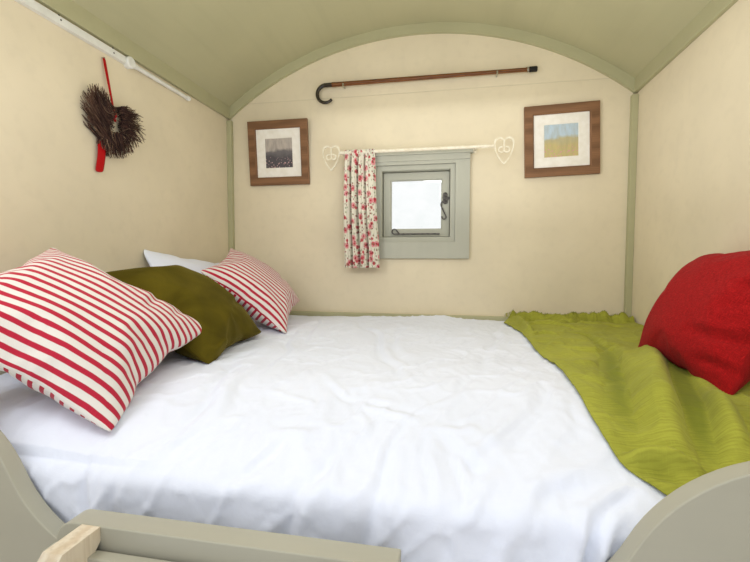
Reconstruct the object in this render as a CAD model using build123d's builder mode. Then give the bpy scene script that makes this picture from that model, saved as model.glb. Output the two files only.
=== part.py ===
from build123d import *
from math import sqrt, sin, tan, radians, degrees, asin, acos
import os

# Sleeping end of a shepherds hut: the end bay with its window, built-in bed and bedding.
# Millimetres. X runs across the hut, +Y into the end wall, +Z up.
# The origin is on the ground, on the hut's centre line, under the end wall's inner face.
# A size called a level is a height above the floor boards.

# Hut shell
inner_width = 1950
bay_length = 2000
wall_thick = 80
bearer_height = 100
bearer_width = 70
bearer_count = 5
floor_thick = 22
seat_gap = 0.3

# Barrel roof, struck from one centre line that runs the length of the hut
apex_level = 2294
trim_radius = 1537
trim_height = 44
trim_thick = 18
lining_thick = 9
deck_thick = 50
eaves_overhang = 60
gable_overhang = 90
barge_height = 95
barge_thick = 22

# Corrugated roof sheet
wave_pitch = 76
wave_depth = 18
sheet_thick = 2.5

# Painted trims inside
strip_size = 25
strip_clear = 2
cornice_thick = 16
cornice_height = 48
ledge_thick = 20
ledge_height = 45
ledge_level = 955

# Window opening, frame and outer sill
window_x = 7
window_level = 1495
light_width = 331
light_height = 322
frame_thick = 25
frame_proud = 6
frame_bevel = 4
stop_thick = 12
stop_width = 14
sill_proud = 45
sill_thick = 30
sill_fall = 12

# Inner casing
casing_width = 68
casing_thick = 20
casing_round = 2
head_height = 43
head_step_height = 27
head_step = 7
cap_height = 15
cap_proud = 12
apron_height = 80

# Sash and pane
sash_gap = 3
sash_stile = 40
sash_thick = 35
sash_setback = 30
sash_bevel = 7
glass_thick = 4
glass_rebate = 8

# Wrought-iron window furniture
iron_thick = 6
stay_length = 235
stay_rise = 16
stay_loop = 12
stay_turn = 230
stay_tail = 24
peg_radius = 4
plate_width = 24
plate_height = 58
plate_thick = 3
tail_lift = 27
tail_scroll = 11
tail_scroll_turn = 270
tail_swing = 20
tail_swing_turn = 115
tail_reach = 52
tail_foot = 10
tail_foot_turn = 230

# Curtain pole
pole_radius = 8
pole_off_wall = 70
pole_level = 1738
pole_left = -353
pole_right = 367
bracket_arm = 6
bracket_plate_width = 18
bracket_plate_height = 30
bracket_plate_thick = 6
bracket_left_x = -343
bracket_right_x = 288

# Heart finials
heart_width = 88
heart_height = 122
heart_wire = 6
heart_drop = 24
heart_scroll = 12
heart_scroll_turn = 300
heart_inside = 18

# Curtain
curtain_left = -333
curtain_right = -165
curtain_drop = 554
curtain_depth = 46
curtain_head = 26

# Pictures
picture_size = 320
picture_moulding = 41
picture_thick = 18
picture_bevel = 5
picture_round = 2
panel_thick = 5
picture_level = 1765
right_picture_inset = 308
left_picture_inset = 286
right_picture_turn = 1.6
left_picture_lean = 5

# Walking stick
stick_level = 2082
stick_off_wall = 26
stick_left = -404
stick_right = 520
stick_radius_left = 11
stick_radius_right = 9
collar_proud = 0.8
collar_length = 16
crook_radius = 42
crook_neck = 34
crook_sweep = 229
crook_nose = 7
ferrule_length = 34
ferrule_wall = 3
hook_left_x = -345
hook_right_x = 379
hook_thick = 4
hook_width = 6
hook_toe = 9

# Twig heart on the left wall
twig_back = 798
twig_width = 250
twig_height = 192
twig_thick = 46
twig_gap_width = 64
twig_gap_height = 70
twig_turn = 7
nail_aside = -17
nail_drop = 20
nail_rise = 226
nail_radius = 2
nail_length = 12
ribbon_width = 8
ribbon_length = 126
ribbon_thick = 2

# Trunking and tube lamp on the left wall
trunk_height = 24
trunk_depth = 16
trunk_clear = 1
trunk_end = 726
rose_radius = 21
rose_depth = 24
rose_round = 6
lamp_radius = 8
lamp_length = 330
lamp_cap = 14
lamp_cap_proud = 2

# Bed front
bed_depth = 1450
front_thick = 30
front_bottom_level = 600
front_top_level = 973
notch_level = 705
notch_left = -353
notch_right = 222
cheek_radius = 245

# Board and rail for the ladder
board_thick = 40
board_left = -432
board_right = 128
board_level = 801
board_height = 145
board_corner = 34
rail_gap = 5
rail_thick = 20
rail_height = 45

# Bed base
batten = 45
slat_thick = 20
slat_width = 90
slat_count = 12
platform_level = 690

# Ladder
ladder_left = -381
ladder_width = 480
stringer_thick = 34
stringer_depth = 52
hook_drop = 34
hook_bevel = 11
ladder_lean = 14
tread_count = 2
tread_thick = 28
tread_depth = 80

# Mattress
mattress_side_gap = 25
mattress_back_gap = 30
mattress_front_gap = 70
mattress_height = 200
mattress_corner = 40
mattress_edge = 12

# Duvet and throw
duvet_side = 5
duvet_thick = 45
duvet_skirt = 28
duvet_low = 226
duvet_shoulder = 62
duvet_fall = 52
duvet_round = 60
throw_left = 452
throw_thick = 9
throw_side = 9
throw_low = 150

# Pillows and cushions
pillow_inset = 125
pillow_width = 370
pillow_thick = 90
pillow_end_gap = 90
pillow_gap = 80
near_inset = 315
near_front = 214
near_size = 420
near_thick = 110
olive_inset = 323
olive_share = 0.55
olive_length = 330
olive_width = 390
olive_thick = 100
far_inset = 330
far_share = 0.27
far_size = 390
far_thick = 100
red_inset = 125
red_share = 0.594
red_length = 400
red_width = 350
red_thick = 110

# How far under its top a heart is widest and dips between its lobes, as shares of its width
heart_waist = 0.25
heart_dip = 0.143

# Crown of a soft pad: (distance from its seam, share of its outline), as shares of thickness and width
pad_levels = ((-0.5, 0.46), (-0.4, 0.76), (-0.2, 0.93), (0, 1), (0.2, 0.93), (0.4, 0.76), (0.5, 0.46))

# Levels, radii and faces that follow from the sizes above
half = inner_width / 2
outer = half + wall_thick
floor_z = bearer_height + floor_thick
arch_apex = floor_z + apex_level
arch_z = arch_apex - trim_radius
lining_radius = trim_radius + trim_height
deck_radius = lining_radius + lining_thick
roof_radius = deck_radius + deck_thick
roof_far = wall_thick + gable_overhang
front_face = -bed_depth - front_thick
board_face = front_face - board_thick


def finish(builder, name):
    """Label a finished piece and write it."""
    builder.part.label = name
    export_step(builder.part, f"parts/{name}.step")


def arch_height(x, radius):
    """Height of a circle struck from the barrel's centre line, at x."""
    return arch_z + sqrt(radius ** 2 - x ** 2)


def heart_line(width, height):
    """Closed heart outline about its middle, point down; its waist and dip keep their share of its width."""
    waist = (width / 2, height / 2 - heart_waist * width)
    with BuildLine() as line:
        TangentArc(waist, (0, -height / 2), tangent=(0, -1))
        TangentArc(waist, (0, height / 2 - heart_dip * width), tangent=(0, 1))
        mirror(about=Plane.YZ)
    return line


def barrel_band(inner_radius, outer_radius, reach, near, far):
    """Curved slab between two radii of the barrel, |x| up to reach, from Y near to Y far."""
    with BuildPart() as band:
        with BuildSketch(Plane.XZ.offset(-far)):
            with Locations((0, arch_z)):
                Circle(outer_radius)
                Circle(inner_radius, mode=Mode.SUBTRACT)
            with Locations((0, arch_z)):
                Rectangle(2 * reach, 2 * outer_radius, align=(Align.CENTER, Align.MIN), mode=Mode.INTERSECT)
        extrude(amount=far - near)
    return band


os.makedirs("parts", exist_ok=True)

# Floor: cross bearers on the ground, boarded over
bearer_pitch = (bay_length - bearer_width / 2) / (bearer_count - 1)
with BuildPart() as floor_bearers:
    for index in range(bearer_count):
        with Locations((0, -index * bearer_pitch, 0)):
            Box(2 * outer, bearer_width, bearer_height, align=(Align.CENTER, Align.CENTER, Align.MIN))
finish(floor_bearers, "floor_bearers")

with BuildPart() as floor_boards:
    with Locations((0, (wall_thick - bay_length) / 2, bearer_height)):
        Box(2 * outer, bay_length + wall_thick, floor_thick, align=(Align.CENTER, Align.CENTER, Align.MIN))
finish(floor_boards, "floor_boards")

# Side walls, cut to the curve under the roof deck
for name, side in (("left_wall", -1), ("right_wall", 1)):
    with BuildPart() as side_wall:
        with BuildSketch(Plane.XZ):
            with Locations((side * (half + outer) / 2, (floor_z + arch_apex) / 2)):
                Rectangle(wall_thick, arch_apex - floor_z)
            with Locations((0, arch_z)):
                Circle(deck_radius, mode=Mode.INTERSECT)
        extrude(amount=bay_length)
    finish(side_wall, name)

# End wall with its arched head and the window cut through
window_z = floor_z + window_level
hole_width = light_width + 2 * frame_thick
hole_height = light_height + 2 * frame_thick
with BuildPart() as end_wall:
    with BuildSketch(Plane.XZ.offset(-wall_thick)):
        with Locations((0, floor_z)):
            Rectangle(2 * outer, deck_radius + arch_z - floor_z, align=(Align.CENTER, Align.MIN))
        with Locations((0, arch_z)):
            Circle(deck_radius, mode=Mode.INTERSECT)
        with Locations((window_x, window_z)):
            Rectangle(hole_width, hole_height, mode=Mode.SUBTRACT)
    extrude(amount=wall_thick)
finish(end_wall, "end_wall")

# Barrel ceiling, roof deck and the bargeboard that closes the gable overhang
finish(barrel_band(lining_radius, deck_radius, half, -bay_length, 0), "ceiling_lining")
finish(barrel_band(deck_radius, roof_radius, outer + eaves_overhang, -bay_length, roof_far), "roof_deck")
barge_radius = deck_radius - barge_height
finish(barrel_band(barge_radius, deck_radius, outer, roof_far - barge_thick, roof_far), "bargeboard")

# Corrugated sheet, its waves turned about the barrel's centre line
wave_count = round((roof_far + bay_length) / wave_pitch)
wave_step = (roof_far + bay_length) / wave_count
sheet_reach = degrees(asin((outer + eaves_overhang) / roof_radius))
sheet_low = roof_radius + arch_z + seat_gap
with BuildPart() as roof_sheet:
    with BuildSketch(Plane.YZ):
        with BuildLine():
            under = []
            for index in range(wave_count):
                for quarter, lift in enumerate((0, 0, wave_depth, wave_depth)):
                    under.append(((index + quarter / 4) * wave_step - bay_length, sheet_low + lift))
            under.append((roof_far, sheet_low))
            over = [(y, z + sheet_thick) for y, z in reversed(under)]
            Polyline(*under, *over, close=True)
        make_face()
    revolve(axis=Axis((0, 0, arch_z), (0, 1, 0)), revolution_arc=sheet_reach)
    mirror(about=Plane.YZ)
finish(roof_sheet, "roof_sheet")

# Corner strips beside the end wall
strip_top = arch_height(half, trim_radius) - strip_clear
with BuildPart() as corner_strips:
    for side in (-1, 1):
        with Locations((side * (half - strip_size / 2), -strip_size / 2, floor_z)):
            Box(strip_size, strip_size, strip_top - floor_z, align=(Align.CENTER, Align.CENTER, Align.MIN))
finish(corner_strips, "corner_strips")

# Cornice strips where the ceiling meets the side walls
cornice_bottom = arch_height(half, lining_radius) - cornice_height
with BuildPart() as cornices:
    with BuildSketch(Plane.XZ):
        for side in (-1, 1):
            with Locations((side * (half - cornice_thick / 2), cornice_bottom)):
                Rectangle(cornice_thick, 2 * cornice_height, align=(Align.CENTER, Align.MIN))
        with Locations((0, arch_z)):
            Circle(lining_radius, mode=Mode.INTERSECT)
    extrude(amount=bay_length)
finish(cornices, "cornices")

# Arched trim where the ceiling meets the end wall
finish(barrel_band(trim_radius, lining_radius, half - cornice_thick, -trim_thick, 0), "arch_trim")

# Ledge strip on the end wall, behind the bed
with BuildPart() as bed_ledge:
    with Locations((0, 0, floor_z + ledge_level)):
        Box(inner_width - 2 * strip_size, ledge_thick, ledge_height,
            align=(Align.CENTER, Align.MAX, Align.MAX))
finish(bed_ledge, "bed_ledge")

# Window frame through the wall, with the stop that the sash shuts against and a sloping outer sill
frame_depth = wall_thick + 2 * frame_proud
frame_out = wall_thick + frame_proud
sill_out = wall_thick + sill_proud
sash_far = sash_setback + sash_thick
light_foot = window_z - light_height / 2
sill_top = light_foot - frame_thick / 2
with BuildPart() as window_frame:
    with BuildSketch(Plane.XZ.offset(-frame_out)):
        with Locations((window_x, window_z)):
            Rectangle(hole_width, hole_height)
            Rectangle(light_width, light_height, mode=Mode.SUBTRACT)
    extrude(amount=frame_depth)
    chamfer(window_frame.faces().sort_by(Axis.Y)[0].inner_wires()[0].edges(), length=frame_bevel)
    with BuildSketch(Plane.XZ.offset(-sash_far - seat_gap - stop_thick)):
        with Locations((window_x, window_z)):
            Rectangle(light_width, light_height)
            Rectangle(light_width - 2 * stop_width, light_height - 2 * stop_width, mode=Mode.SUBTRACT)
    extrude(amount=stop_thick)
    with BuildSketch(Plane.YZ.offset(window_x - hole_width / 2 - sill_proud)):
        with BuildLine():
            Polyline(
                (wall_thick, sill_top),
                (sill_out, sill_top - sill_fall),
                (sill_out, sill_top - sill_thick),
                (wall_thick, sill_top - sill_thick),
                close=True,
            )
        make_face()
    extrude(amount=hole_width + 2 * sill_proud)
finish(window_frame, "window_frame")

# Inner casing: two jamb boards, a stepped head board under a cap, and an apron
casing_outer = hole_width + 2 * casing_width
head_bottom = window_z + hole_height / 2
with BuildPart() as window_casing:
    with BuildSketch(Plane.XZ):
        with Locations((window_x, window_z)):
            Rectangle(casing_outer, hole_height + 2 * head_height)
            Rectangle(hole_width, hole_height, mode=Mode.SUBTRACT)
        with Locations((window_x, window_z - hole_height / 2)):
            Rectangle(casing_outer, apron_height, align=(Align.CENTER, Align.MAX))
    extrude(amount=casing_thick)
    with Locations((window_x, -casing_thick, head_bottom + head_height)):
        Box(casing_outer, head_step, head_step_height, align=(Align.CENTER, Align.MAX, Align.MAX))
    with Locations((window_x, 0, head_bottom + head_height)):
        Box(casing_outer + 2 * cap_proud, casing_thick + head_step + cap_proud, cap_height,
            align=(Align.CENTER, Align.MAX, Align.MIN))
    fillet(window_casing.edges().filter_by(Axis.X).group_by(Axis.Y)[0], radius=casing_round)
finish(window_casing, "window_casing")

# Casement sash, bevelled round its single pane
sash_width = light_width - 2 * sash_gap
sash_height = light_height - 2 * sash_gap
pane_width = sash_width - 2 * sash_stile
pane_height = sash_height - 2 * sash_stile
with BuildPart() as casement_sash:
    with BuildSketch(Plane.XZ.offset(-sash_far)):
        with Locations((window_x, window_z)):
            Rectangle(sash_width, sash_height)
            Rectangle(pane_width, pane_height, mode=Mode.SUBTRACT)
    extrude(amount=sash_thick)
    chamfer(casement_sash.faces().sort_by(Axis.Y)[0].inner_wires()[0].edges(), length=sash_bevel)
    with BuildSketch(Plane.XZ.offset(-sash_far)):
        with Locations((window_x, window_z)):
            Rectangle(pane_width + 2 * glass_rebate, pane_height + 2 * glass_rebate)
    extrude(amount=sash_thick / 2, mode=Mode.SUBTRACT)
finish(casement_sash, "casement_sash")

with BuildPart() as window_glass:
    with BuildSketch(Plane.XZ.offset(sash_thick / 2 - sash_far)):
        with Locations((window_x, window_z)):
            Rectangle(pane_width + 2 * (glass_rebate - seat_gap), pane_height + 2 * (glass_rebate - seat_gap))
    extrude(amount=-glass_thick)
finish(window_glass, "window_glass")

# Casement stay: a forged bar turned back into a loop at one end, on two pegs
stay_z = light_foot + stay_rise
stay_right = window_x + stay_length / 2
loop_x = window_x - stay_length / 2 + stay_loop
with BuildPart() as casement_stay:
    with BuildSketch(Plane.XZ.offset(iron_thick - sash_setback)):
        with BuildLine():
            bar = Line((stay_right, stay_z), (loop_x, stay_z))
            loop = JernArc(bar @ 1, bar % 1, stay_loop, -stay_turn)
        trace(line_width=iron_thick)
        with BuildLine():
            Line(loop @ 1, loop @ 1 + stay_tail * (loop % 1))
        trace(line_width=iron_thick)
    extrude(amount=iron_thick)
    with BuildSketch(Plane.XZ.offset(-sash_setback)):
        with Locations((window_x - stay_length / 4, stay_z), (stay_right - 2 * peg_radius, stay_z)):
            Circle(peg_radius)
    extrude(amount=2 * iron_thick)
finish(casement_stay, "casement_stay")

# Casement fastener: a back plate, a tongue to the frame and a forged tail curled at both ends
tail_x = window_x + light_width / 2 - sash_gap - sash_stile / 2
tail_z = window_z + tail_lift
tongue = window_x + light_width / 2 - seat_gap - tail_x
with BuildPart() as casement_fastener:
    with BuildSketch(Plane.XZ.offset(-sash_setback)):
        with Locations((tail_x, tail_z)):
            SlotOverall(plate_height, plate_width, rotation=90)
    extrude(amount=plate_thick)
    with BuildSketch(Plane.XZ.offset(plate_thick - sash_setback)):
        with BuildLine():
            scroll = JernArc((tail_x - tail_scroll, tail_z), (0, 1), tail_scroll, -tail_scroll_turn)
            swing = JernArc(scroll @ 1, scroll % 1, tail_swing, tail_swing_turn)
            shank = Line(swing @ 1, swing @ 1 + tail_reach * (swing % 1))
            JernArc(shank @ 1, shank % 1, tail_foot, -tail_foot_turn)
        trace(line_width=iron_thick)
        with Locations((tail_x, tail_z)):
            Rectangle(tongue, 2 * iron_thick, align=(Align.MIN, Align.CENTER))
    extrude(amount=iron_thick)
finish(casement_fastener, "casement_fastener")

# Curtain pole, its brackets and heart finials
pole_z = floor_z + pole_level
with BuildPart() as curtain_pole:
    with BuildSketch(Plane.YZ.offset(pole_left)):
        with Locations((-pole_off_wall, pole_z)):
            Circle(pole_radius)
    extrude(amount=pole_right - pole_left)
finish(curtain_pole, "curtain_pole")

with BuildPart() as pole_brackets:
    for bracket_x in (bracket_left_x, bracket_right_x):
        with BuildSketch(Plane.XZ):
            with Locations((bracket_x, pole_z)):
                SlotOverall(bracket_plate_height, bracket_plate_width, rotation=90)
        extrude(amount=bracket_plate_thick)
        with BuildSketch(Plane.XZ):
            with Locations((bracket_x, pole_z)):
                Circle(bracket_arm)
        extrude(amount=pole_off_wall - pole_radius - seat_gap)
finish(pole_brackets, "pole_brackets")

notch_depth = heart_height / 2 - heart_dip * heart_width - heart_wire / 2
with BuildPart() as heart_finials:
    for heart_x in (pole_left - heart_width / 2 - seat_gap, pole_right + heart_width / 2 + seat_gap):
        heart_plane = Plane(origin=(heart_x, heart_wire / 2 - pole_off_wall, pole_z - heart_drop),
                            x_dir=(1, 0, 0), z_dir=(0, -1, 0))
        with BuildSketch(heart_plane):
            make_face(heart_line(heart_width, heart_height).line)
            make_face(heart_line(heart_width - 2 * heart_wire, heart_height - heart_inside).line,
                      mode=Mode.SUBTRACT)
            for side in (-1, 1):
                with BuildLine():
                    stem = Line((0, notch_depth), (0, heart_wire))
                    JernArc(stem @ 1, stem % 1, heart_scroll, heart_scroll_turn * side)
                trace(line_width=heart_wire)
        extrude(amount=heart_wire)
finish(heart_finials, "heart_finials")

# Curtain: gathered on the pole, a frill above it and folds below
curtain_width = curtain_right - curtain_left
curtain_bottom = pole_z - curtain_drop
curtain_height = curtain_drop + pole_radius + curtain_head
with BuildPart() as curtain:
    with BuildSketch(Plane.XZ.offset(pole_off_wall - curtain_depth / 2)):
        with Locations((curtain_left, curtain_bottom)):
            Rectangle(curtain_width, curtain_height, align=(Align.MIN, Align.MIN))
    extrude(amount=curtain_depth)
    with BuildSketch(Plane.YZ.offset(curtain_left)):
        with Locations((-pole_off_wall, pole_z)):
            Circle(pole_radius + seat_gap)
    extrude(amount=curtain_width, mode=Mode.SUBTRACT)
finish(curtain, "curtain")

# Pictures: a bevelled frame and the panel in it, one hung a little askew, one leaning out at the top
picture_z = floor_z + picture_level
lean_reach = sin(radians(left_picture_lean)) * picture_size / 2 + seat_gap
left_plane = Plane((left_picture_inset - half, -lean_reach, picture_z), x_dir=(1, 0, 0), z_dir=(0, -1, 0))
left_plane = left_plane.rotated((left_picture_lean, 0, 0))
right_plane = Plane((half - right_picture_inset, -seat_gap, picture_z), x_dir=(1, 0, 0), z_dir=(0, -1, 0))
right_plane = right_plane.rotated((0, -right_picture_turn, 0))
panel_size = picture_size - 2 * picture_moulding
for side, plane in (("left", left_plane), ("right", right_plane)):
    with BuildPart() as picture_frame:
        with BuildSketch(plane):
            Rectangle(picture_size, picture_size)
            Rectangle(panel_size, panel_size, mode=Mode.SUBTRACT)
        extrude(amount=picture_thick)
        outward = Axis(plane.origin, plane.z_dir)
        chamfer(picture_frame.faces().sort_by(outward)[-1].inner_wires()[0].edges(), length=picture_bevel)
        fillet(picture_frame.faces().sort_by(outward)[-1].outer_wire().edges(), radius=picture_round)
    finish(picture_frame, f"{side}_picture_frame")
    with BuildPart() as picture_panel:
        with BuildSketch(plane.offset(panel_thick)):
            Rectangle(panel_size - 2 * seat_gap, panel_size - 2 * seat_gap)
        extrude(amount=panel_thick)
    finish(picture_panel, f"{side}_picture_panel")

# Walking stick: a tapered shank between two collars, laid on two wall hooks
stick_z = floor_z + stick_level
stick_axis = Axis((0, -stick_off_wall, stick_z), (1, 0, 0))
shank_start = stick_left + collar_length
shank_end = stick_right - collar_length
with BuildPart() as walking_stick:
    with BuildSketch(Plane.XZ.offset(stick_off_wall)):
        with BuildLine():
            Polyline(
                (stick_left, stick_z),
                (stick_left, stick_z + stick_radius_left + collar_proud),
                (shank_start, stick_z + stick_radius_left + collar_proud),
                (shank_start, stick_z + stick_radius_left),
                (shank_end, stick_z + stick_radius_right),
                (shank_end, stick_z + stick_radius_right + collar_proud),
                (stick_right, stick_z + stick_radius_right + collar_proud),
                (stick_right, stick_z),
                close=True,
            )
        make_face()
    revolve(axis=stick_axis)
finish(walking_stick, "walking_stick")

# Horn crook, tapered towards its nose
with BuildPart() as stick_crook:
    with BuildLine(Plane.XZ.offset(stick_off_wall)) as crook_path:
        neck = Line((stick_left, stick_z), (stick_left - crook_neck, stick_z))
        JernArc(neck @ 1, neck % 1, crook_radius, crook_sweep)
    for place, radius in ((0, stick_radius_left), (1, crook_nose)):
        with BuildSketch(Plane(origin=crook_path.line @ place, z_dir=crook_path.line % place)):
            Circle(radius)
    sweep(multisection=True)
finish(stick_crook, "stick_crook")

with BuildPart() as stick_ferrule:
    with BuildSketch(Plane.YZ.offset(stick_right)):
        with Locations((-stick_off_wall, stick_z)):
            Circle(stick_radius_right + ferrule_wall)
    extrude(amount=ferrule_length)
    chamfer(stick_ferrule.faces().sort_by(Axis.X)[-1].edges(), length=ferrule_wall)
finish(stick_ferrule, "stick_ferrule")

hook_reach = stick_off_wall + stick_radius_left + seat_gap + hook_thick
with BuildPart() as stick_hooks:
    for hook_x in (hook_left_x, hook_right_x):
        share = (hook_x - shank_start) / (shank_end - shank_start)
        stick_radius = stick_radius_left + share * (stick_radius_right - stick_radius_left)
        with BuildSketch(Plane.YZ.offset(hook_x - hook_width / 2)):
            with Locations((-hook_reach, stick_z - stick_radius - seat_gap)):
                Rectangle(hook_reach, hook_thick, align=(Align.MIN, Align.MAX))
                Rectangle(hook_thick, hook_toe, align=(Align.MIN, Align.MIN))
        extrude(amount=hook_width)
finish(stick_hooks, "stick_hooks")

# Cable trunking, a round junction box and a tube lamp under the left cornice
trunk_z = cornice_bottom - rose_radius - trunk_clear
with BuildPart() as cable_trunking:
    with Locations((-half, -bay_length, trunk_z)):
        Box(trunk_depth, bay_length - trunk_end, trunk_height, align=(Align.MIN, Align.MIN, Align.CENTER))
finish(cable_trunking, "cable_trunking")

with BuildPart() as junction_box:
    with BuildSketch(Plane.YZ.offset(-half)):
        with Locations((rose_radius - trunk_end, trunk_z)):
            Circle(rose_radius - seat_gap)
    extrude(amount=rose_depth)
    fillet(junction_box.faces().sort_by(Axis.X)[-1].edges(), radius=rose_round)
finish(junction_box, "junction_box")

lamp_start = 2 * rose_radius - trunk_end
cap_radius = lamp_radius + lamp_cap_proud
with BuildPart() as tube_lamp:
    for start, reach, radius in (
        (lamp_start, lamp_cap, cap_radius),
        (lamp_start + lamp_cap, lamp_length - 2 * lamp_cap, lamp_radius),
        (lamp_start + lamp_length - lamp_cap, lamp_cap, cap_radius),
    ):
        with BuildSketch(Plane.XZ.offset(-start)):
            with Locations((cap_radius + seat_gap - half, trunk_z)):
                Circle(radius)
        extrude(amount=-reach)
finish(tube_lamp, "tube_lamp")

# Twig heart on the left wall, hung by a ribbon from a nail
nail_y = nail_aside - twig_back
nail_z = trunk_z - trunk_height / 2 - nail_drop
twig_z = nail_z - nail_rise
twig_plane = Plane(origin=(seat_gap - half, -twig_back, twig_z), x_dir=(0, 1, 0), z_dir=(1, 0, 0))
twig_plane = twig_plane.rotated((-twig_turn, 0, 0))
with BuildPart() as twig_heart:
    with BuildSketch(twig_plane):
        inside = heart_line(twig_gap_width, twig_gap_height)
        make_face(heart_line(twig_width, twig_height).line)
        make_face(inside.line, mode=Mode.SUBTRACT)
    extrude(amount=twig_thick)
finish(twig_heart, "twig_heart")

with BuildPart() as ribbon_nail:
    with BuildSketch(Plane.YZ.offset(-half)):
        with Locations((nail_y, nail_z)):
            Circle(nail_radius)
    extrude(amount=nail_length)
finish(ribbon_nail, "ribbon_nail")

with BuildPart() as heart_ribbon:
    with BuildSketch(Plane.YZ.offset(nail_radius - half)):
        with Locations((nail_y, nail_z + nail_radius + ribbon_thick)):
            Rectangle(ribbon_width, ribbon_length, align=(Align.CENTER, Align.MAX))
        with Locations((nail_y, nail_z)):
            Circle(nail_radius + seat_gap, mode=Mode.SUBTRACT)
    extrude(amount=ribbon_thick)
finish(heart_ribbon, "heart_ribbon")

# Bed front: one board with a scooped middle between two high cheeks, in tangent arcs
front_bottom = floor_z + front_bottom_level
front_top = floor_z + front_top_level
notch_z = floor_z + notch_level
cheek_angle = degrees(acos(1 - (front_top - notch_z) / (2 * cheek_radius)))
with BuildPart() as bed_front:
    with BuildSketch(Plane.XZ.offset(bed_depth)):
        with BuildLine():
            scoop = Line((notch_left, notch_z), (notch_right, notch_z))
            right_low = JernArc(scoop @ 1, scoop % 1, cheek_radius, cheek_angle)
            right_high = JernArc(right_low @ 1, right_low % 1, cheek_radius, -cheek_angle)
            left_low = JernArc(scoop @ 0, (-1, 0), cheek_radius, -cheek_angle)
            left_high = JernArc(left_low @ 1, left_low % 1, cheek_radius, cheek_angle)
            Polyline(
                right_high @ 1,
                (half, front_top),
                (half, front_bottom),
                (-half, front_bottom),
                (-half, front_top),
                left_high @ 1,
            )
        make_face()
    extrude(amount=front_thick)
finish(bed_front, "bed_front")

# Board on the bed front that the ladder leans on, its left corner rounded
board_top = floor_z + board_level
with BuildPart() as centre_board:
    with BuildSketch(Plane.XZ.offset(-front_face)):
        with Locations((board_left, board_top)):
            Rectangle(board_right - board_left, board_height, align=(Align.MIN, Align.MAX))
    extrude(amount=board_thick)
    corner = centre_board.edges().filter_by(Axis.Y).group_by(Axis.Z)[-1].sort_by(Axis.X)[0]
    fillet(corner, radius=board_corner)
finish(centre_board, "centre_board")

# Ladder rail, stood off the board on two spacers
hook_z = board_top - hook_drop
rail_back = board_face - rail_gap
rail_face = rail_back - rail_thick
with BuildPart() as ladder_rail:
    with Locations((board_left, rail_face, hook_z - seat_gap)):
        Box(board_right - board_left, rail_thick, rail_height, align=(Align.MIN, Align.MIN, Align.MAX))
    for spacer_x in (board_left, board_right - rail_height):
        with Locations((spacer_x, rail_back, hook_z - seat_gap)):
            Box(rail_height, rail_gap, rail_height, align=(Align.MIN, Align.MIN, Align.MAX))
finish(ladder_rail, "ladder_rail")

# Pine ladder: two leaning stringers notched over the rail, and flat treads between them
lean_run = (board_top - floor_z) * tan(radians(ladder_lean))
stringer_back = rail_face - seat_gap
stringer_face = stringer_back - stringer_depth
tread_pitch = (notch_z - floor_z) / (tread_count + 1)
with BuildPart() as ladder:
    for stringer_x in (ladder_left, ladder_left + ladder_width - stringer_thick):
        with BuildSketch(Plane.YZ.offset(stringer_x)):
            with BuildLine():
                Polyline(
                    (board_face - seat_gap, board_top),
                    (board_face - seat_gap, hook_z + hook_bevel),
                    (board_face - seat_gap - hook_bevel, hook_z),
                    (stringer_back, hook_z),
                    (stringer_back, hook_z - rail_height - hook_drop),
                    (stringer_back - lean_run, floor_z),
                    (stringer_face - lean_run, floor_z),
                    (stringer_face, board_top - hook_bevel),
                    (stringer_face + hook_bevel, board_top),
                    close=True,
                )
            make_face()
        extrude(amount=stringer_thick)
    for index in range(1, tread_count + 1):
        tread_z = floor_z + index * tread_pitch
        tread_run = lean_run * (board_top - tread_z) / (board_top - floor_z)
        tread_y = (stringer_back + stringer_face) / 2 - tread_run
        with Locations((ladder_left + ladder_width / 2, tread_y, tread_z)):
            Box(ladder_width - 2 * stringer_thick, tread_depth, tread_thick)
finish(ladder, "ladder")

# Bed base: a batten on the end wall, a bearer at mid depth, a batten on the bed front, and slats
platform_z = floor_z + platform_level
slat_z = platform_z - slat_thick
with BuildPart() as bed_battens:
    for batten_y in (-strip_size - batten / 2, -bed_depth / 2, batten / 2 - bed_depth):
        with Locations((0, batten_y, slat_z)):
            Box(inner_width, batten, batten, align=(Align.CENTER, Align.CENTER, Align.MAX))
finish(bed_battens, "bed_battens")

slat_pitch = (inner_width - slat_width) / (slat_count - 1)
with BuildPart() as bed_slats:
    for index in range(slat_count):
        with Locations((slat_width / 2 - half + index * slat_pitch, -strip_size, slat_z)):
            Box(slat_width - 2 * seat_gap, bed_depth - strip_size, slat_thick,
                align=(Align.CENTER, Align.MAX, Align.MIN))
finish(bed_slats, "bed_slats")

# Mattress
mattress_front = mattress_front_gap - bed_depth
mattress_depth = bed_depth - mattress_back_gap - mattress_front_gap
with BuildPart() as mattress:
    with Locations((0, mattress_front, platform_z + seat_gap)):
        Box(inner_width - 2 * mattress_side_gap, mattress_depth, mattress_height,
            align=(Align.CENTER, Align.MIN, Align.MIN))
    fillet(mattress.edges().filter_by(Axis.Z), radius=mattress_corner)
    fillet(mattress.edges().filter_by(Axis.Z, reverse=True), radius=mattress_edge)
finish(mattress, "mattress")

# Duvet: flat over the mattress, then rolled down between the mattress and the bed front
duvet_base = platform_z + mattress_height + 2 * seat_gap
duvet_top = duvet_base + duvet_thick
skirt_back = mattress_front - seat_gap
skirt_front = throw_thick + 2 * seat_gap - bed_depth
duvet_back = seat_gap - mattress_back_gap
shoulder_slope = degrees(asin(duvet_fall / sqrt(duvet_fall ** 2 + duvet_shoulder ** 2)))


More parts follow.
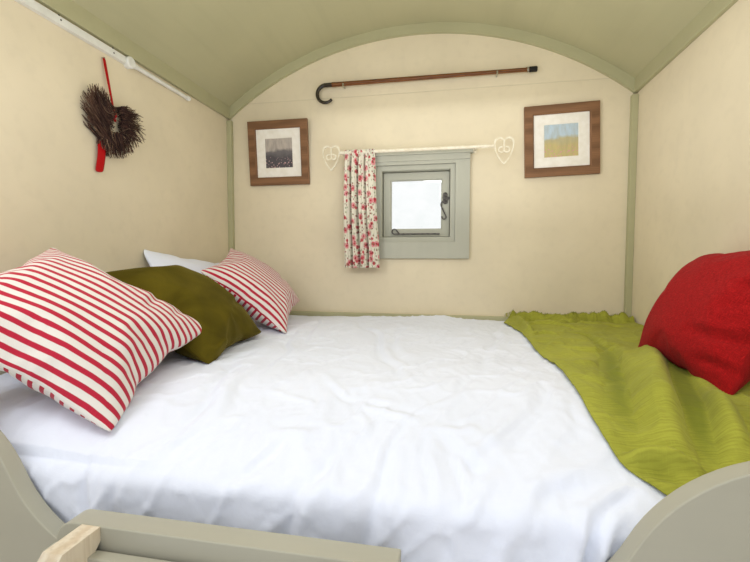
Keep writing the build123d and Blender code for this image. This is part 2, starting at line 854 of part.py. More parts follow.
def bedding_line(lift, low):
    """Top line of the bedding in the YZ plane, raised by lift all along, down to level low at the front."""
    top_turn = lift * tan(radians(shoulder_slope / 2))
    foot_turn = lift * tan(radians(45 - shoulder_slope / 2))
    with BuildLine() as line:
        FilletPolyline(
            (duvet_back, duvet_top + lift),
            (skirt_front + duvet_shoulder - top_turn, duvet_top + lift),
            (skirt_front - lift, duvet_top - duvet_fall + foot_turn),
            (skirt_front - lift, low),
            radius=duvet_round + lift,
        )
    return line


skirt_low = duvet_top - duvet_low
with BuildPart() as duvet:
    with BuildSketch(Plane.YZ.offset(duvet_side - half)):
        with BuildLine():
            add(bedding_line(0, skirt_low).line)
            Polyline(
                (skirt_front, skirt_low),
                (skirt_front + duvet_skirt, skirt_low),
                (skirt_back, duvet_base - duvet_skirt),
                (skirt_back, duvet_base),
                (duvet_back, duvet_base),
                (duvet_back, duvet_top),
            )
        make_face()
    extrude(amount=inner_width - 2 * duvet_side)
finish(duvet, "duvet")

# Throw laid over the right side of the duvet
with BuildPart() as throw:
    with BuildSketch(Plane.YZ.offset(throw_left)):
        with BuildLine():
            inner = bedding_line(seat_gap, duvet_top - throw_low).line
            cover = bedding_line(seat_gap + throw_thick, duvet_top - throw_low).line
            add(inner)
            add(cover)
            Line(inner @ 1, cover @ 1)
            Line(inner @ 0, cover @ 0)
        make_face()
    extrude(amount=half - throw_side - throw_left)
finish(throw, "throw")


def leaning_pad(name, x, y, seat_z, across, normal, length, width, thick):
    """Crowned pad whose lowest corner rests on seat_z, by the way its long edge runs and its face looks."""
    tilt = Plane(origin=(0, 0, 0), x_dir=across, z_dir=normal)
    reach = (abs(tilt.x_dir.Z) * length + abs(tilt.y_dir.Z) * width) / 2
    below = max(share * reach - lift * thick * tilt.z_dir.Z for lift, share in pad_levels)
    plane = Plane(origin=(x, y, seat_z + seat_gap + below), x_dir=across, z_dir=normal)
    with BuildPart() as cushion:
        for lift, share in pad_levels:
            with BuildSketch(plane.offset(lift * thick)):
                Rectangle(length * share, width * share)
        loft(ruled=True)
    finish(cushion, name)


# How each leaning pad lies: the way its long edge runs, then the way its face looks
pillow_lie = ((0, 1, 0), (0.8, 0, 0.6))
near_lie = ((-0.14, 0.94, 0.29), (0.545, -0.17, 0.82))
olive_lie = ((-0.11, 0.99, 0.04), (0.6, 0.03, 0.8))
far_lie = ((-0.22, 0.95, 0.23), (0.66, -0.02, 0.75))
red_lie = ((-0.05, 0.99, 0.07), (-0.86, -0.08, 0.50))

# Pillows end to end against the left wall
pillow_length = (bed_depth - 2 * pillow_end_gap - pillow_gap) / 2
for name, y in (
    ("rear_pillow", -pillow_end_gap - pillow_length / 2),
    ("front_pillow", pillow_end_gap + pillow_length / 2 - bed_depth),
):
    leaning_pad(name, pillow_inset - half, y, duvet_top, *pillow_lie,
                pillow_length, pillow_width, pillow_thick)

# Cushions that lean on the pillows, and one on the throw against the right wall
leaning_pad("near_striped_cushion", near_inset - half, near_front - bed_depth, duvet_top,
            *near_lie, near_size, near_size, near_thick)
leaning_pad("olive_cushion", olive_inset - half, -olive_share * bed_depth, duvet_top,
            *olive_lie, olive_length, olive_width, olive_thick)
leaning_pad("far_striped_cushion", far_inset - half, -far_share * bed_depth, duvet_top,
            *far_lie, far_size, far_size, far_thick)
leaning_pad("red_cushion", half - red_inset, -red_share * bed_depth, duvet_top + throw_thick + seat_gap,
            *red_lie, red_length, red_width, red_thick)
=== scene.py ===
"""Dresses the shepherds hut's sleeping end: paint, timber, bedding, curtain, twig heart, light and camera."""
import math
import random

import bmesh
import bpy
import numpy as np
from mathutils import Matrix, Vector


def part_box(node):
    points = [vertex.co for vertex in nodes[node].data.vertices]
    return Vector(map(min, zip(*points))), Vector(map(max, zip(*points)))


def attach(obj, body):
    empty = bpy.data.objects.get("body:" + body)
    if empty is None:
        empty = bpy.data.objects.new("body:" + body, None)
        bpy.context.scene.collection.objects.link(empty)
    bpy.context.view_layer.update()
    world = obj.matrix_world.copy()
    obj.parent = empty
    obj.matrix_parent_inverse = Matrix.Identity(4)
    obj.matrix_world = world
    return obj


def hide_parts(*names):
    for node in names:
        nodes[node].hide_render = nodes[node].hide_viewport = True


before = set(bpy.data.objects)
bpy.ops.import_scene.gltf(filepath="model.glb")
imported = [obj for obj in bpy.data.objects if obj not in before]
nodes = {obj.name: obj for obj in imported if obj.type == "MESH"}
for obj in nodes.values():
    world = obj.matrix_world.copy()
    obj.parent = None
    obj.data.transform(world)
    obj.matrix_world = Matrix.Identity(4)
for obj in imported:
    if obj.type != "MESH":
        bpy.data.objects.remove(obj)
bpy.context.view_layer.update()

scene = bpy.context.scene
chance = random.Random(7)

# The camera, solved from the corners of the room in the photograph
photo_width, photo_height = 750, 562
photo_focal = 423
sensor_width = 36
camera_at = Vector((0.2009, -2.0775, 1.347))
camera_turn, camera_tilt, camera_roll = 0.1872, -0.0514, 0.0018
camera_matrix = (
    Matrix.Rotation(camera_turn, 3, "Z")
    @ Matrix.Rotation(math.pi / 2 + camera_tilt, 3, "X")
    @ Matrix.Rotation(camera_roll, 3, "Z")
)

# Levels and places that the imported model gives
wall_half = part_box("right_wall")[0].x
wall_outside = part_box("right_wall")[1].x
front_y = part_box("left_wall")[0].y
duvet_low, duvet_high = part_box("duvet")
throw_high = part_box("throw")[1]

# The finish that each CAD node came with, by the record's names
slot_of = {name: packed.material_slots[0].material.name for name, packed in nodes.items()}
for packed in list(bpy.data.materials):
    bpy.data.materials.remove(packed)


def colour(code, lift=1.0):
    """A colour written in six hex digits, as linear light, made lighter or darker by lift."""
    parts = [int(code[i : i + 2], 16) / 255 for i in (0, 2, 4)]
    linear = [c / 12.92 if c <= 0.04045 else ((c + 0.055) / 1.055) ** 2.4 for c in parts]
    return (*(min(1.0, c * lift) for c in linear), 1.0)


# A wave texture of scale 1 repeats after this length
wave_period = 2 * math.pi / 20


class Look:
    """A procedural material, made node by node. Its lengths are metres in the shared frame."""

    def __init__(self, name, **sockets):
        self.material = bpy.data.materials.new(name)
        self.material.use_nodes = True
        self.tree = self.material.node_tree
        self.shader = self.tree.nodes["Principled BSDF"]
        self.normal = None
        for socket, value in sockets.items():
            self.shader.inputs[socket.replace("_", " ")].default_value = value

    def node(self, kind, inputs, out=0, **settings):
        """Adds a node and gives the output asked for; an input takes a number, a colour or another output."""
        made = self.tree.nodes.new("ShaderNode" + kind)
        for key, value in settings.items():
            setattr(made, key, value)
        for key, value in inputs.items():
            if isinstance(value, bpy.types.NodeSocket):
                self.tree.links.new(value, made.inputs[key])
            else:
                made.inputs[key].default_value = value
        return made.outputs[out]

    def space(self, note=None, scale=(1, 1, 1)):
        """Places on the object: the shared frame, or a note kept on the mesh, stretched by scale."""
        if note:
            source = self.node("Attribute", {}, "Vector", attribute_name=note)
        else:
            source = self.node("TexCoord", {}, "Object")
        return self.node("Mapping", {"Vector": source, "Scale": scale})

    def noise(self, scale, detail, note=None, stretch=(1, 1, 1), distortion=0.0):
        inputs = {"Vector": self.space(note, stretch), "Scale": scale, "Detail": detail}
        return self.node("TexNoise", {**inputs, "Distortion": distortion})

    def cells(self, place, scale, out="Distance", flat=False):
        dimensions = "2D" if flat else "3D"
        return self.node("TexVoronoi", {"Vector": place, "Scale": scale}, out, voronoi_dimensions=dimensions)

    def bands(self, place, scale, distortion=0.0, axis="X", detail=2.0):
        return self.node(
            "TexWave",
            {"Vector": place, "Scale": scale, "Distortion": distortion, "Detail": detail},
            "Fac",
            bands_direction=axis,
        )

    def spread(self, value, low, high, to_low=0.0, to_high=1.0):
        """Stretches value so that low to high becomes to_low to to_high, and cuts off the rest."""
        return self.node(
            "MapRange",
            {"Value": value, "From Min": low, "From Max": high, "To Min": to_low, "To Max": to_high},
        )

    def maths(self, operation, first, second=0.0):
        return self.node("Math", {0: first, 1: second}, operation=operation)

    def parts(self, place):
        """The three separate lengths of a place."""
        split = self.node("SeparateXYZ", {"Vector": place}).node
        return split.outputs[0], split.outputs[1], split.outputs[2]

    def mixed(self, share, first, second, how="MIX"):
        return self.node(
            "Mix", {0: share, 6: first, 7: second}, 2, data_type="RGBA", blend_type=how
        )

    def tint(self, base, tone, value, low, high, share=1.0):
        """Base with a tone over it: none where value is at low, and share of it from high on."""
        return self.mixed(self.spread(value, low, high, 0, share), base, tone)

    def bump(self, height, distance, strength=1.0):
        inputs = {"Height": height, "Distance": distance, "Strength": strength}
        if self.normal:
            inputs["Normal"] = self.normal
        self.normal = self.node("Bump", inputs)

    def done(self, base, roughness=None):
        """Joins the colour, the bumps and a varying roughness to the shader, and gives the material."""
        self.tree.links.new(base, self.shader.inputs["Base Color"])
        if self.normal:
            self.tree.links.new(self.normal, self.shader.inputs["Normal"])
        if roughness:
            self.tree.links.new(roughness, self.shader.inputs["Roughness"])
        return self.material


def paint(name, code, brush=(1, 1, 1), gloss=0.5, joint_level=None):
    """Hand-painted timber: soft clouds of tone, brush marks along the board and a fine roller stipple."""
    look = Look(name, Specular_IOR_Level=0.3)
    clouds = look.noise(2.6, 4)
    strokes = look.noise(26, 4, stretch=brush)
    stipple = look.noise(700, 2)
    base = look.tint(colour(code, 0.95), colour(code, 1.04), clouds, 0.35, 0.65)
    base = look.tint(base, colour(code, 0.84), strokes, 0.5, 0.8, 0.3)
    if joint_level:
        up = look.parts(look.space())[2]
        gap = look.maths("ABSOLUTE", look.maths("SUBTRACT", up, joint_level))
        seam = look.spread(gap, 0.0012, 0.003, 0.3, 0)
        base = look.mixed(seam, base, colour(code, 0.62))
        look.bump(look.spread(gap, 0.001, 0.004), 0.001, 0.5)
    look.bump(strokes, 0.0012, 0.22)
    look.bump(stipple, 0.0003, 0.3)
    return look.done(base, look.spread(clouds, 0.3, 0.7, gloss - 0.06, gloss + 0.08))


def timber(name, light, dark, gloss=0.5, note="grain", ring=9.0, fibre=160.0, knots=0.0):
    """Planed wood with growth rings and fibres along each board's own length, and knots where asked."""
    look = Look(name, Specular_IOR_Level=0.4)
    rings = look.bands(look.space(note, (0.5, 1, 1)), ring, 7, "Y", 4)
    fibres = look.noise(fibre, 4, note, (0.03, 1, 1))
    tone = look.noise(3, 3, note, (0.4, 1, 1))
    base = look.tint(colour(light), colour(dark), rings, 0.2, 0.95, 0.6)
    base = look.tint(base, colour(dark, 0.8), fibres, 0.45, 0.75, 0.45)
    base = look.tint(base, colour(light, 0.75), tone, 0.35, 0.7, 0.35)
    if knots:
        spot = look.cells(look.space(note, (0.5, 1, 1)), knots)
        base = look.mixed(look.spread(spot, 0.05, 0.16, 0.85, 0), base, colour(dark, 0.35))
    look.bump(fibres, 0.0005, 0.35)
    return look.done(base, look.spread(fibres, 0.3, 0.7, gloss - 0.08, gloss + 0.1))


def cloth(name, code, thread=0.0012, sheen=0.2, uneven=0.04, crumple=0.0, note=None):
    """Plain woven cloth: crossing threads, a soft unevenness of tone, and small creases where asked."""
    look = Look(name, Roughness=0.9, Sheen_Weight=sheen, Sheen_Roughness=0.5, Specular_IOR_Level=0.15)
    place = look.space(note)
    tone = look.noise(7, 4, note)
    slub = look.noise(90, 3, note, (1, 9, 1))
    base = look.tint(colour(code, 1 - uneven), colour(code, 1 + uneven), tone, 0.3, 0.7)
    base = look.tint(base, colour(code, 0.9), slub, 0.55, 0.8, 0.25)
    ends = look.bands(place, wave_period / thread, 0.6, "X", 1)
    picks = look.bands(place, wave_period / thread, 0.6, "Y", 1)
    look.bump(look.maths("MAXIMUM", ends, picks), thread * 0.2, 0.35)
    if crumple:
        look.bump(look.noise(16, 6, note, distortion=0.8), crumple, 0.4)
    return look, base


def striped(name, cream, red, pitch, band):
    """Woven stripes that run along the front panel and across the back one, as the two were cut."""
    look, base = cloth(name, cream, 0.0011, 0.15, note="weave")
    wander = look.maths("MULTIPLY", look.noise(22, 2, "weave"), 0.0016)
    along, across, side = look.parts(look.space("weave"))
    front = look.maths("GREATER_THAN", side, 0.0)
    lane = look.node("Mix", {0: front, 2: across, 3: along}, 0, data_type="FLOAT")
    place = look.maths("ADD", look.maths("ADD", lane, wander), 4.0)
    phase = look.maths("FRACT", look.maths("DIVIDE", place, pitch))
    offset = look.maths("ABSOLUTE", look.maths("SUBTRACT", phase, 0.5))
    edge = band / pitch / 2
    stripe = look.spread(offset, edge - 0.02, edge + 0.02, 1, 0)
    ribs = look.noise(60, 2, "weave", (1, 30, 1))
    thread = look.tint(colour(red, 1.05), colour(red, 0.78), ribs, 0.3, 0.8)
    look.bump(stripe, 0.0003, 0.3)
    return look.done(look.mixed(stripe, base, thread))


def velvet(name, code):
    """Cut pile, darker where it is brushed one way, with a pale sheen at grazing light."""
    look = Look(name, Roughness=0.85, Sheen_Weight=0.3, Sheen_Roughness=0.3, Specular_IOR_Level=0.1)
    look.shader.inputs["Sheen Tint"].default_value = colour("C9B85A")
    brushed = look.noise(7, 5, "weave", distortion=0.6)
    pile = look.noise(500, 2, "weave")
    base = look.tint(colour(code, 0.72), colour(code, 1.3), brushed, 0.35, 0.65)
    base = look.tint(base, colour(code, 0.6), pile, 0.3, 0.7, 0.35)
    look.bump(pile, 0.0007, 0.5)
    look.bump(brushed, 0.002, 0.3)
    return look.done(base)


def tweed(name, code):
    """Coarse woollen weave with thick and thin threads."""
    look = Look(name, Roughness=0.95, Sheen_Weight=0.03, Sheen_Roughness=0.6, Specular_IOR_Level=0.08)
    thick = look.noise(70, 3, "weave", (1, 10, 1))
    thin = look.noise(70, 3, "weave", (10, 1, 1))
    knots = look.cells(look.space("weave"), 420)
    rows = look.maths("MAXIMUM", thick, thin)
    base = look.tint(colour(code, 0.66), colour(code, 1.35), rows, 0.45, 0.75)
    base = look.mixed(look.spread(knots, 0.1, 0.6, 0.4, 0), base, colour(code, 0.45))
    look.bump(rows, 0.002, 0.5)
    look.bump(knots, 0.0012, 0.6)
    return look.done(base)


def slubbed(name, code):
    """Brushed throw with uneven picks that show as fine ribs across it, and painted shade that darkens it
    towards olive green in the hollows of its folds.
    """
    look = Look(name, Roughness=0.95, Sheen_Weight=0.06, Sheen_Roughness=0.5, Specular_IOR_Level=0.08)
    picks = look.noise(24, 5, "weave", (1, 12, 1))
    ends = look.noise(50, 3, "weave", (14, 1, 1))
    tone = look.noise(6, 4, "weave")
    # Painted shade: the hollow note gives how deep each point lies in a fold's hollow
    hollow = look.parts(look.space("hollow"))[0]
    base = look.tint(colour(code, 0.86), colour(code, 1.14), tone, 0.3, 0.7)
    base = look.tint(base, colour(code, 0.64), picks, 0.42, 0.68, 0.62)
    base = look.tint(base, colour(code, 1.35), ends, 0.55, 0.8, 0.35)
    # Painted shade: the throw is darkened towards a deeper olive green where its folds are hollow
    base = look.tint(base, colour("5C661A"), hollow, 0.0, 1.0, 0.6)
    look.bump(picks, 0.0012, 0.5)
    look.bump(ends, 0.0008, 0.35)
    return look.done(base)


def floral(name):
    """Small roses, buds and sprigs scattered on cream cotton."""
    look, base = cloth(name, "DDD8C8", 0.0008, 0.1, note="weave")
    grain = look.node("TexNoise", {"Vector": look.space("weave"), "Scale": 150.0}, "Color")
    soft = look.node("VectorMath", {0: grain, 1: (0.008, 0.008, 0.0)}, operation="MULTIPLY")
    place = look.node("VectorMath", {0: look.space("weave", (0.6, 1, 1)), 1: soft}, operation="ADD")
    for size, petals, heart, reach, least in (
        (21, "D98A90", "A41E30", 0.26, 0.30),
        (31, "C64854", "7A1222", 0.22, 0.55),
        (52, "8C1A2A", "5E0C18", 0.16, 0.50),
    ):
        far = look.cells(place, size, flat=True)
        pick = look.parts(look.cells(place, size, "Color", flat=True))[0]
        kept = look.maths("GREATER_THAN", pick, least)
        ring = look.maths("MULTIPLY", look.spread(far, reach, reach + 0.06, 0.9, 0), kept)
        middle = look.maths("MULTIPLY", look.spread(far, reach * 0.3, reach * 0.55, 1, 0), kept)
        base = look.mixed(ring, base, colour(petals))
        base = look.mixed(middle, base, colour(heart))
    long_place = look.node("VectorMath", {0: place, 1: (1.0, 0.5, 1.0)}, operation="MULTIPLY")
    sprigs = look.spread(look.cells(long_place, 80, flat=True), 0.14, 0.24, 0.8, 0)
    wanted = look.parts(look.cells(long_place, 80, "Color", flat=True))[1]
    leaf = look.maths("MULTIPLY", sprigs, look.maths("GREATER_THAN", wanted, 0.35))
    return look.done(look.mixed(leaf, base, colour("7F8B66")))


def plain(name, light, dark, scale, roughness, distance=0.0003, note=None, **sockets):
    """Cast, moulded or printed stuff: two tones that mingle, with a fine unevenness."""
    look = Look(name, **sockets)
    clouds = look.noise(scale, 5, note)
    fine = look.noise(scale * 9, 3, note)
    base = look.tint(colour(light), colour(dark), clouds, 0.35, 0.65)
    look.bump(fine, distance, 0.4)
    return look.done(base, look.spread(clouds, 0.3, 0.7, roughness - 0.05, roughness + 0.08))


def twig_bark(name):
    """Bark of thin dry twigs: each one its own tone, paler towards its cut tip."""
    look = Look(name, Roughness=0.75, Specular_IOR_Level=0.25)
    own, far, _ = look.parts(look.space("strand"))
    base = look.mixed(own, colour("21161A"), colour("5E4238"))
    base = look.tint(base, colour("9A8068"), own, 0.85, 1.0, 0.8)
    base = look.tint(base, colour("7A5C46"), far, 0.7, 1.0, 0.35)
    bark = look.noise(600, 3)
    look.bump(bark, 0.0004, 0.5)
    return look.done(look.tint(base, colour("1E1416"), bark, 0.4, 0.8, 0.4))


def sheet_metal(name, code):
    """Painted corrugated sheet, streaked with dirt down its slope and dulled in patches."""
    look = Look(name, Metallic=0.15, Specular_IOR_Level=0.4)
    streaks = look.noise(9, 4, stretch=(1, 9, 1))
    spots = look.noise(60, 5)
    base = look.tint(colour(code), colour(code, 0.62), streaks, 0.4, 0.75, 0.5)
    base = look.tint(base, colour("8C7A62"), spots, 0.62, 0.75, 0.7)
    look.bump(spots, 0.0006, 0.3)
    return look.done(base, look.spread(streaks, 0.3, 0.7, 0.42, 0.6))


def glass(name):
    look = Look(name, Transmission_Weight=1.0, IOR=1.45)
    smear = look.noise(9, 4)
    base = look.tint(colour("FAFCFC"), colour("F2F6F5"), smear, 0.4, 0.7)
    return look.done(base, look.spread(smear, 0.4, 0.8, 0.0, 0.05))


def linen():
    look, base = cloth("white_linen", "E4E9F7", 0.0012, 0.08, 0.015, crumple=0.004)
    return look.done(base)


def ticking():
    look, base = cloth("ticking", "E4DFD3", 0.0014, 0.1)
    lanes = look.bands(look.space(), wave_period / 0.04, 0, "X", 0)
    return look.done(look.tint(base, colour("7D8A9A"), lanes, 0.8, 0.9))


def satin():
    look = Look("red_ribbon", Roughness=0.45, Specular_IOR_Level=0.25)
    ribs = look.noise(120, 2, stretch=(1, 1, 12))
    look.bump(ribs, 0.0003, 0.4)
    return look.done(look.mixed(ribs, colour("BE020B"), colour("8E0108")))


wall_cream = "E0D4B9"
sage = "B2AF8C"
brush_along_y, brush_up = (1, 0.06, 1), (1, 1, 0.06)
looks = {
    "wall_paint": paint("wall_paint", wall_cream, gloss=0.62, joint_level=2.15),
    "ceiling_paint": paint("ceiling_paint", "B4B08D", brush_along_y, 0.6),
    "sage_paint": paint("sage_paint", sage, (0.06, 1, 1), 0.5),
    "window_paint": paint("window_paint", "B4B4A6", brush_up, 0.48),
    "pane": glass("pane"),
    "iron": plain("iron", "736F6B", "444241", 90, 0.42, Metallic=0.7),
    "pole_paint": plain("pole_paint", "E9E2CF", "DDD3BA", 60, 0.4, 0.0002),
    "curtain_cloth": floral("curtain_cloth"),
    "brown_wood": timber("brown_wood", "8A6446", "5C3F2A", 0.5, ring=5, fibre=200),
    "picture_card": plain("picture_card", "F0ECE4", "E8E3D8", 40, 0.8, 0.0001),
    "stick_wood": timber("stick_wood", "7E4E2A", "40240F", 0.25, ring=30, fibre=260, knots=14),
    "horn": plain("horn", "17130F", "2E241A", 30, 0.18, 0.0001, Coat_Weight=0.5),
    "black_rubber": plain("black_rubber", "1C1C1B", "131312", 80, 0.75),
    "hook_metal": plain("hook_metal", "CFCFCB", "B4B4B0", 120, 0.25, 0.0001, Metallic=1.0),
    "twigs": twig_bark("twigs"),
    "red_ribbon": satin(),
    "white_plastic": plain("white_plastic", "E9E9E4", "DDDDD6", 20, 0.4, 0.0001),
    "pine": timber("pine", "DCD0BA", "C4AD8B", 0.5, ring=11, knots=7),
    "base_pine": timber("base_pine", "CDAE7E", "A37E4E", 0.6, ring=10, knots=6),
    "ticking": ticking(),
    "white_linen": linen(),
    "red_stripe": striped("red_stripe", "DED9D3", "B8283F", 0.0246, 0.0105),
    "olive_velvet": velvet("olive_velvet", "544A12"),
    "red_wool": tweed("red_wool", "A81A1C"),
    "green_throw": slubbed("green_throw", "A0A13F"),
    "bearer_oak": timber("bearer_oak", "8A7152", "5C4832", 0.75, ring=7, knots=3),
    "floor_pine": timber("floor_pine", "BE935C", "86592E", 0.4, ring=8, knots=5),
    "roof_timber": timber("roof_timber", "A08A66", "77643F", 0.7, ring=8),
    "roof_metal": sheet_metal("roof_metal", "66705F"),
}
cladding_paint = paint("cladding_paint", "B9BFA6", (0.05, 0.05, 1), 0.55)
bed_paint = paint("bed_paint", "ADAA9A", (0.06, 1, 1), 0.42)

for name, packed in nodes.items():
    packed.material_slots[0].material = looks[slot_of[name]]


def put(name, data):
    """Puts a mesh, a light or a camera in the scene."""
    made = bpy.data.objects.new(name, data)
    scene.collection.objects.link(made)
    return made


def keep_places(mesh, note, places, on="POINT"):
    """Notes a place on each point or each corner of a mesh, which its material reads."""
    kept = mesh.attributes.new(note, "FLOAT_VECTOR", on)
    kept.data.foreach_set("vector", np.asarray(places, float).ravel())


def read_places(data, key):
    """Places that a mesh holds, one to a row."""
    values = np.zeros(len(data) * 3)
    data.foreach_get(key, values)
    return values.reshape(-1, 3)


def on_hut(name, mesh, slot, look=None):
    """Puts a mesh on the hut as a visible piece, in its finish."""
    mesh.materials.append(look or looks[slot])
    made = put(name, mesh)
    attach(made, "root")
    return made


def piece(name, points, faces, slot, look=None, smooth=True, notes=None):
    """A new mesh that rides on the hut, with its material and any places noted on its points."""
    mesh = bpy.data.meshes.new(name)
    mesh.from_pydata([tuple(p) for p in points], [], [tuple(f) for f in faces])
    for note, places in (notes or {}).items():
        keep_places(mesh, note, places)
    mesh.polygons.foreach_set("use_smooth", [smooth] * len(mesh.polygons))
    mesh.update()
    return on_hut(name, mesh, slot, look)


smoothing = ("SUBSURF", {"levels": 1, "render_levels": 1})


def thickening(thickness, offset=0.0):
    return "SOLIDIFY", {"thickness": thickness, "offset": offset}


def settle(made, *modifiers):
    """Adds modifiers, given as a kind and its settings, and keeps their result as the mesh itself."""
    for kind, settings in modifiers:
        added = made.modifiers.new(kind.lower(), kind)
        for key, value in settings.items():
            setattr(added, key, value)
    bpy.context.view_layer.update()
    shaped = made.evaluated_get(bpy.context.evaluated_depsgraph_get())
    mesh = bpy.data.meshes.new_from_object(shaped)
    made.modifiers.clear()
    made.data = mesh
    return made


def weave_grid(rows, columns, flip=False):
    """Four-sided faces over a grid of points counted row by row."""
    faces = []
    for i in range(rows - 1):
        for j in range(columns - 1):
            a = i * columns + j
            face = (a, a + 1, a + columns + 1, a + columns)
            faces.append(face[::-1] if flip else face)
    return faces


def islands(mesh):
    """The points of each separate solid in a mesh being edited, solid by solid in the mesh's own order."""
    left, found = set(mesh.verts), []
    for first in mesh.verts:
        if first not in left:
            continue
        left.remove(first)
        queue, group = [first], []
        while queue:
            point = queue.pop()
            group.append(point)
            for edge in point.link_edges:
                other = edge.other_vert(point)
                if other in left:
                    left.remove(other)
                    queue.append(other)
        found.append(group)
    return found


def grain_shift():
    """Each board's own place in the grain, so that no two look the same."""
    return [chance.uniform(0, 9) for _ in range(3)]


def dressed(node, ease=0.0015, mitred=False, look=None, sharp_over=35):
    """A copy of a CAD node with eased edges, whose boards each carry grain along their own length."""
    edited = bmesh.new()
    edited.from_mesh(nodes[node].data)
    bmesh.ops.remove_doubles(edited, verts=edited.verts, dist=1e-5)
    bmesh.ops.dissolve_limit(edited, angle_limit=math.radians(1), verts=edited.verts, edges=edited.edges)
    if ease:
        angle = math.radians(sharp_over)
        sharp = [e for e in edited.edges if len(e.link_faces) == 2 and e.calc_face_angle(0) > angle]
        rounded = {"segments": 2, "profile": 0.5, "affect": "EDGES", "clamp_overlap": True}
        bmesh.ops.bevel(edited, geom=sharp, offset=ease, **rounded)
    edited.verts.index_update()
    boards_of = {}
    for group in islands(edited):
        places = np.array([v.co for v in group])
        low, high = places.min(0), places.max(0)
        board = ((low + high) / 2, np.argsort(-(high - low)), grain_shift())
        boards_of.update({v.index: board for v in group})
    grain = []
    for face in edited.faces:
        middle, order, shift = boards_of[face.verts[0].index]
        away = np.abs(np.array(face.calc_center_median()) - middle)
        if mitred and away[order[0]] > away[order[1]]:
            order = order[[1, 0, 2]]
        grain += [(np.array(v.co) - middle)[order] + shift for v in face.verts]
    mesh = bpy.data.meshes.new(node + "_dressed")
    for face in edited.faces:
        face.smooth = True
    edited.to_mesh(mesh)
    edited.free()
    keep_places(mesh, "grain", grain, "CORNER")
    made = on_hut(node + "_dressed", mesh, slot_of[node], look)
    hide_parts(node)
    mesh.set_sharp_from_angle(angle=math.radians(sharp_over))
    return settle(made, ("WEIGHTED_NORMAL", {"keep_sharp": True}))


# Painted and planed timber, with its edges eased as a joiner leaves them
for node in ("bed_front", "centre_board", "ladder_rail"):
    dressed(node, 0.0028, look=bed_paint)
for node in ("corner_strips", "cornices", "bed_ledge", "bargeboard"):
    dressed(node, 0.002)
for node in ("window_casing", "window_frame", "casement_sash"):
    dressed(node, 0.0015)
for node in ("left_picture_frame", "right_picture_frame"):
    dressed(node, 0.0012, mitred=True)
for node in ("ladder", "bed_battens", "bed_slats", "floor_bearers"):
    dressed(node, 0.002)
for node in ("cable_trunking", "junction_box"):
    dressed(node, 0.001)
dressed("walking_stick", 0)


def hills(x, y, size, seed, grid=64, shift=200.0):
    """Smooth random heights from -1 to 1 over a plan, with hills about size across."""
    heights = np.random.default_rng(seed).uniform(-1, 1, (grid, grid))
    u, v = x / size + shift, y / size + shift
    i, j = np.floor(u).astype(int), np.floor(v).astype(int)
    ease_u, ease_v = (t**3 * (t * (t * 6 - 15) + 10) for t in (u - i, v - j))

    def at(a, b):
        return heights[a % grid, b % grid]

    near = at(i, j) * (1 - ease_u) + at(i + 1, j) * ease_u
    far = at(i, j + 1) * (1 - ease_u) + at(i + 1, j + 1) * ease_u
    return near * (1 - ease_v) + far * ease_v


def bell(distance, width):
    """A smooth bump of height 1 that has died out at about twice its width."""
    return np.exp(-((distance / width) ** 2))


def smooth_line(points, steps=6):
    """A line through the points that turns softly at each of them."""
    ends = [points[0], *points, points[-1]]
    line = []
    for a, b, c, d in zip(ends, ends[1:], ends[2:], ends[3:]):
        a, b, c, d = (np.array(p, float) for p in (a, b, c, d))
        for step in range(steps):
            t = step / steps
            bend, twist = 2 * a - 5 * b + 4 * c - d, 3 * b - a - 3 * c + d
            line.append(0.5 * (2 * b + (c - a) * t + bend * t**2 + twist * t**3))
    return np.array([*line, ends[-1]])


# How many half widths a fold reaches and the hollow beside its crest lies off, and how deep the hollow is
fold_reach, hollow_off, hollow_share = 4, 1.7, 0.45


def fold_heights(x, s, folds):
    """Heights of folds over the bedding: a rounded crest with a hollow beside it, dying out at both ends."""
    total = np.zeros_like(x)
    for height, half_width, points in folds:
        line = smooth_line(points)
        steps = np.diff(line, axis=0)
        lengths = np.hypot(steps[:, 0], steps[:, 1])
        starts = np.concatenate([[0], np.cumsum(lengths)])
        reach = fold_reach * half_width
        touched = (x > line[:, 0].min() - reach) & (x < line[:, 0].max() + reach)
        touched &= (s > line[:, 1].min() - reach) & (s < line[:, 1].max() + reach)
        if not touched.any():
            continue
        near_x, near_s = x[touched], s[touched]
        nearest = np.full(near_x.shape, 1e9)
        along, side = np.zeros_like(near_x), np.zeros_like(near_x)
        for start, step, length, run in zip(line, steps, lengths, starts):
            dx, ds = near_x - start[0], near_s - start[1]
            t = np.clip((dx * step[0] + ds * step[1]) / length**2, 0, 1)
            far = np.hypot(dx - t * step[0], ds - t * step[1])
            closer = far < nearest
            nearest = np.where(closer, far, nearest)
            along = np.where(closer, (run + t * length) / starts[-1], along)
            side = np.where(closer, np.sign(dx * step[1] - ds * step[0]), side)
        dying = np.sin(np.pi * np.clip(along, 0.02, 0.98)) ** 0.7
        hollow = bell(nearest * side / half_width - hollow_off, 1)
        total[touched] += height * dying * (bell(nearest, half_width) - hollow_share * hollow)
    return total


# The bedding's profile: level from the end wall, sinking towards the bed front, then over an edge and down
back_y, top_z = duvet_high.y, duvet_high.z
sink_from, sink_to, sink, sink_power = -1.10, -1.42, 0.085, 1.7


